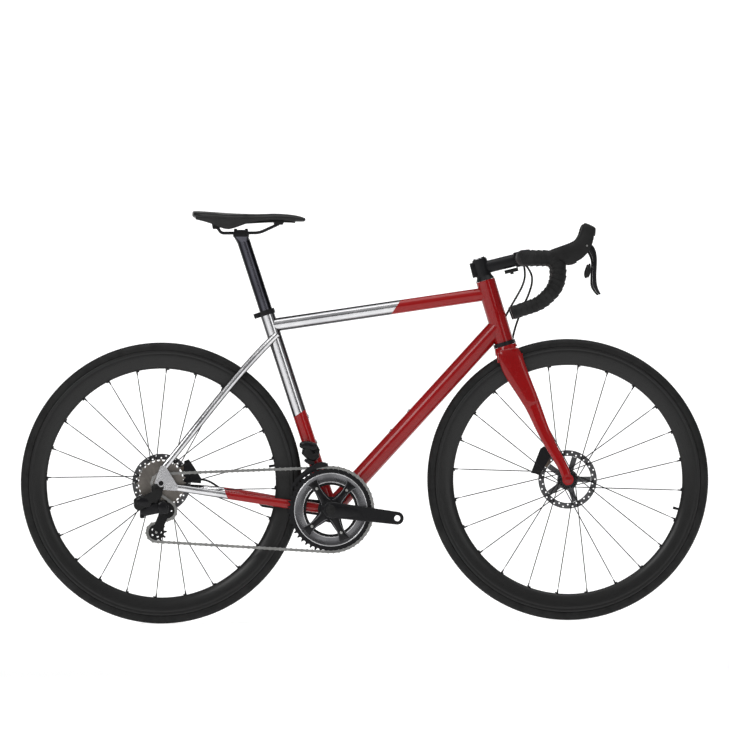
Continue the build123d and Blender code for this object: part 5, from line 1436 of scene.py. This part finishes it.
blob("front_motor_housing", [(-150, 424, 8.0, 8), (-141, 424, 11.0, 9.5), (-129, 421, 12.5, 10.5),
                             (-118, 417, 9.0, 9)], -33.0, "frame", GLOSS_BLACK)
blob("front_motor_arm", [(-139, 412, 9.0, 8.5), (-132, 401, 12.5, 9.5), (-122, 391, 11.0, 9),
                         (-113, 399, 8.0, 7)], -36.0, "frame", PLASTIC)
blob("front_cage_foot", [(-141, 388, 4.0, 3.5), (-132, 383, 5.5, 4), (-122, 380, 5.0, 4)],
     -44.5, "front_changer", SATIN)
blob("rear_motor_housing", [(-546, 292, 10.0, 9), (-538, 293, 16.0, 11.5), (-526, 291, 16.5, 11.5),
                            (-513, 292, 12.0, 10)], -84.0, "frame", GLOSS_BLACK)
blob("rear_mount_knuckle", [(-501, 330, 9.0, 7), (-496, 318, 13.0, 9), (-497, 304, 13.0, 9),
                            (-503, 293, 11.0, 8)], -80.0, "frame", PLASTIC)
blob("rear_link_shell", [(-533, 268, 8.0, 5), (-518, 273, 12.5, 7), (-501, 277, 14.0, 7.5),
                         (-486, 279, 11.0, 6)], -81.5, "rear_link", SATIN)
blob("rear_knuckle_shell", [(-487, 290, 10.0, 5), (-481, 280, 14.5, 7), (-479, 266, 12.0, 6)], -86.5,
     "rear_knuckle", GLOSS_BLACK)

PULLEYS = {"guide": (-472.6, 270.4), "tension": (-498.04, 219.14)}
PULLEY_OUT, PULLEY_IN = Vector((0, -78.5 * MM, 0)), Vector((0, -57.0 * MM, 0))
PULLEY_BOLT_RADII = [(0.0, 2.2 * MM), (0.05, 3.4 * MM), (0.95, 3.4 * MM), (1.0, 2.2 * MM)]
for name, (x, z) in PULLEYS.items():
    middle = Vector((x, 0, z)) * MM
    pin = turned_pin(middle + PULLEY_OUT, middle + PULLEY_IN, PULLEY_BOLT_RADII, 18)
    add_piece(name + "_pulley_bolt", pin, "rear_cage", NICKEL)
print("pulley bolts", len(PULLEYS))


# %% [markdown]
# ## Floor and backdrop
# The floor curves up into a wall, so there is no horizon. The paper is clear from behind, so
# the back of the bicycle can be looked at too. It glows a little, and more towards the far
# front edge, where the lamps do not reach.

# %% Floor and backdrop
FLOOR_FRONT = -52.0
WALL_Y = 4.2
CURVE = 2.2
profile = [(FLOOR_FRONT, 0.0), (WALL_Y - CURVE, 0.0)]
for k in range(1, 13):
    angle = math.pi / 2 * k / 12
    profile.append((WALL_Y - CURVE + CURVE * math.sin(angle), CURVE - CURVE * math.cos(angle)))
profile.append((WALL_Y, 2.9))
rows = [[Vector((x, y, z)) for x in (-16.0, -4.0, 4.0, 16.0)] for y, z in profile]
floor_mesh = grid_mesh("studio_floor", rows, closed_rings=False, caps=False)
paper = Finish("white_paper", (0.86, 0.86, 0.86), 0.85)
paper.bump(paper.noise(220.0, 3.0), 0.03, 0.0004)
paper.colour(paper.ramp(paper.noise(1.5, 2.0), 0.85, 0.87))
paper.bsdf.inputs["Emission Color"].default_value = (1.0, 1.0, 1.0, 1.0)
paper_place = paper.node("ShaderNodeTexCoord")
paper_axes = paper.node("ShaderNodeSeparateXYZ")
paper.join(paper_place.outputs["Object"], paper_axes.inputs["Vector"])
glow = paper.node("ShaderNodeMapRange")
GLOW_RANGE = {"From Min": -12.0, "From Max": -1.5, "To Min": 1.0, "To Max": 0.46}
for key, value in GLOW_RANGE.items():
    glow.inputs[key].default_value = value
paper.join(paper_axes.outputs["Y"], glow.inputs["Value"])
paper.join(glow.outputs["Result"], paper.bsdf.inputs["Emission Strength"])
clear = paper.node("ShaderNodeBsdfTransparent")
side_seen = paper.node("ShaderNodeNewGeometry")
either = paper.node("ShaderNodeMixShader")
paper.join(side_seen.outputs["Backfacing"], either.inputs["Fac"])
paper.join(paper.bsdf.outputs["BSDF"], either.inputs[1])
paper.join(clear.outputs["BSDF"], either.inputs[2])
paper.join(either.outputs["Shader"], paper.tree.nodes["Material Output"].inputs["Surface"])
if floor_mesh.polygons[0].normal.z < 0:
    floor_mesh.flip_normals()
floor_mesh.materials.append(paper.material)
floor = bpy.data.objects.new("studio_floor", floor_mesh)
bpy.context.scene.collection.objects.link(floor)
floor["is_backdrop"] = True
print("floor from y", FLOOR_FRONT, "to", WALL_Y)


# %% [markdown]
# ## Lamps
# The light comes from a large soft box overhead, a key from the left and a weak fill from the
# right. A fourth box lights the wall behind.


# %% Lamps
def soft_box(name, place, aim, size, power):
    """Rectangular soft light at place, facing aim."""
    light = bpy.data.lights.new(name, "AREA")
    light.shape = "RECTANGLE"
    light.size, light.size_y = size
    light.energy = power
    lamp = bpy.data.objects.new(name, light)
    bpy.context.scene.collection.objects.link(lamp)
    lamp.location = place
    lamp.rotation_euler = (Vector(aim) - Vector(place)).to_track_quat("-Z", "Y").to_euler()
    lamp.visible_camera = False
    lamp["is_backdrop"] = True
    return lamp


soft_box("overhead_box", (0.0, -0.6, 3.8), (0.0, 0.0, 0.0), (5.0, 2.6), 80.0)
soft_box("key_box", (-3.0, -4.4, 2.9), (0.0, 0.0, 0.55), (2.2, 2.2), 75.0)
soft_box("fill_box", (3.4, -5.0, 1.5), (0.1, 0.0, 0.5), (1.6, 2.6), 22.0)
soft_box("wall_box", (0.0, 0.9, 5.2), (0.0, 4.2, 1.2), (8.0, 1.2), 60.0)
print("lamps", len(bpy.data.lights))

# %% [markdown]
# ## Sky
# The sky is bright above and darker low down, and it fades behind the bicycle: polished tube
# needs a dark band to mirror, or it would look like white plastic.

# %% Sky
world = bpy.data.worlds.new("studio_sky")
bpy.context.scene.world = world
world.use_nodes = True
tree = world.node_tree
background = tree.nodes["Background"]
where = tree.nodes.new("ShaderNodeTexCoord")
parts = tree.nodes.new("ShaderNodeSeparateXYZ")
bands = tree.nodes.new("ShaderNodeValToRGB")
tree.links.new(where.outputs["Generated"], parts.inputs["Vector"])
tree.links.new(parts.outputs["Z"], bands.inputs["Fac"])
behind = tree.nodes.new("ShaderNodeMapRange")
for key, value in (("From Min", -0.05), ("From Max", 0.25), ("To Min", 1.0), ("To Max", 0.04)):
    behind.inputs[key].default_value = value
tree.links.new(parts.outputs["Y"], behind.inputs["Value"])
dimmed = tree.nodes.new("ShaderNodeVectorMath")
dimmed.operation = "SCALE"
tree.links.new(bands.outputs["Color"], dimmed.inputs["Vector"])
tree.links.new(behind.outputs["Result"], dimmed.inputs["Scale"])
tree.links.new(dimmed.outputs["Vector"], background.inputs["Color"])
stops = bands.color_ramp.elements
stops[0].position, stops[0].color = 0.10, (0.22, 0.22, 0.23, 1)
stops[1].position, stops[1].color = 0.55, (1.0, 1.0, 1.0, 1)
background.inputs["Strength"].default_value = 0.40
print("sky stops", len(stops))

# %% [markdown]
# ## Size
# The box round the dressed model is printed along each axis, without the floor and the lamps.

dressed_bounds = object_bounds()
for axis, low, high in zip("XYZ", *dressed_bounds):
    print(axis, round(low, 4), round(high, 4))
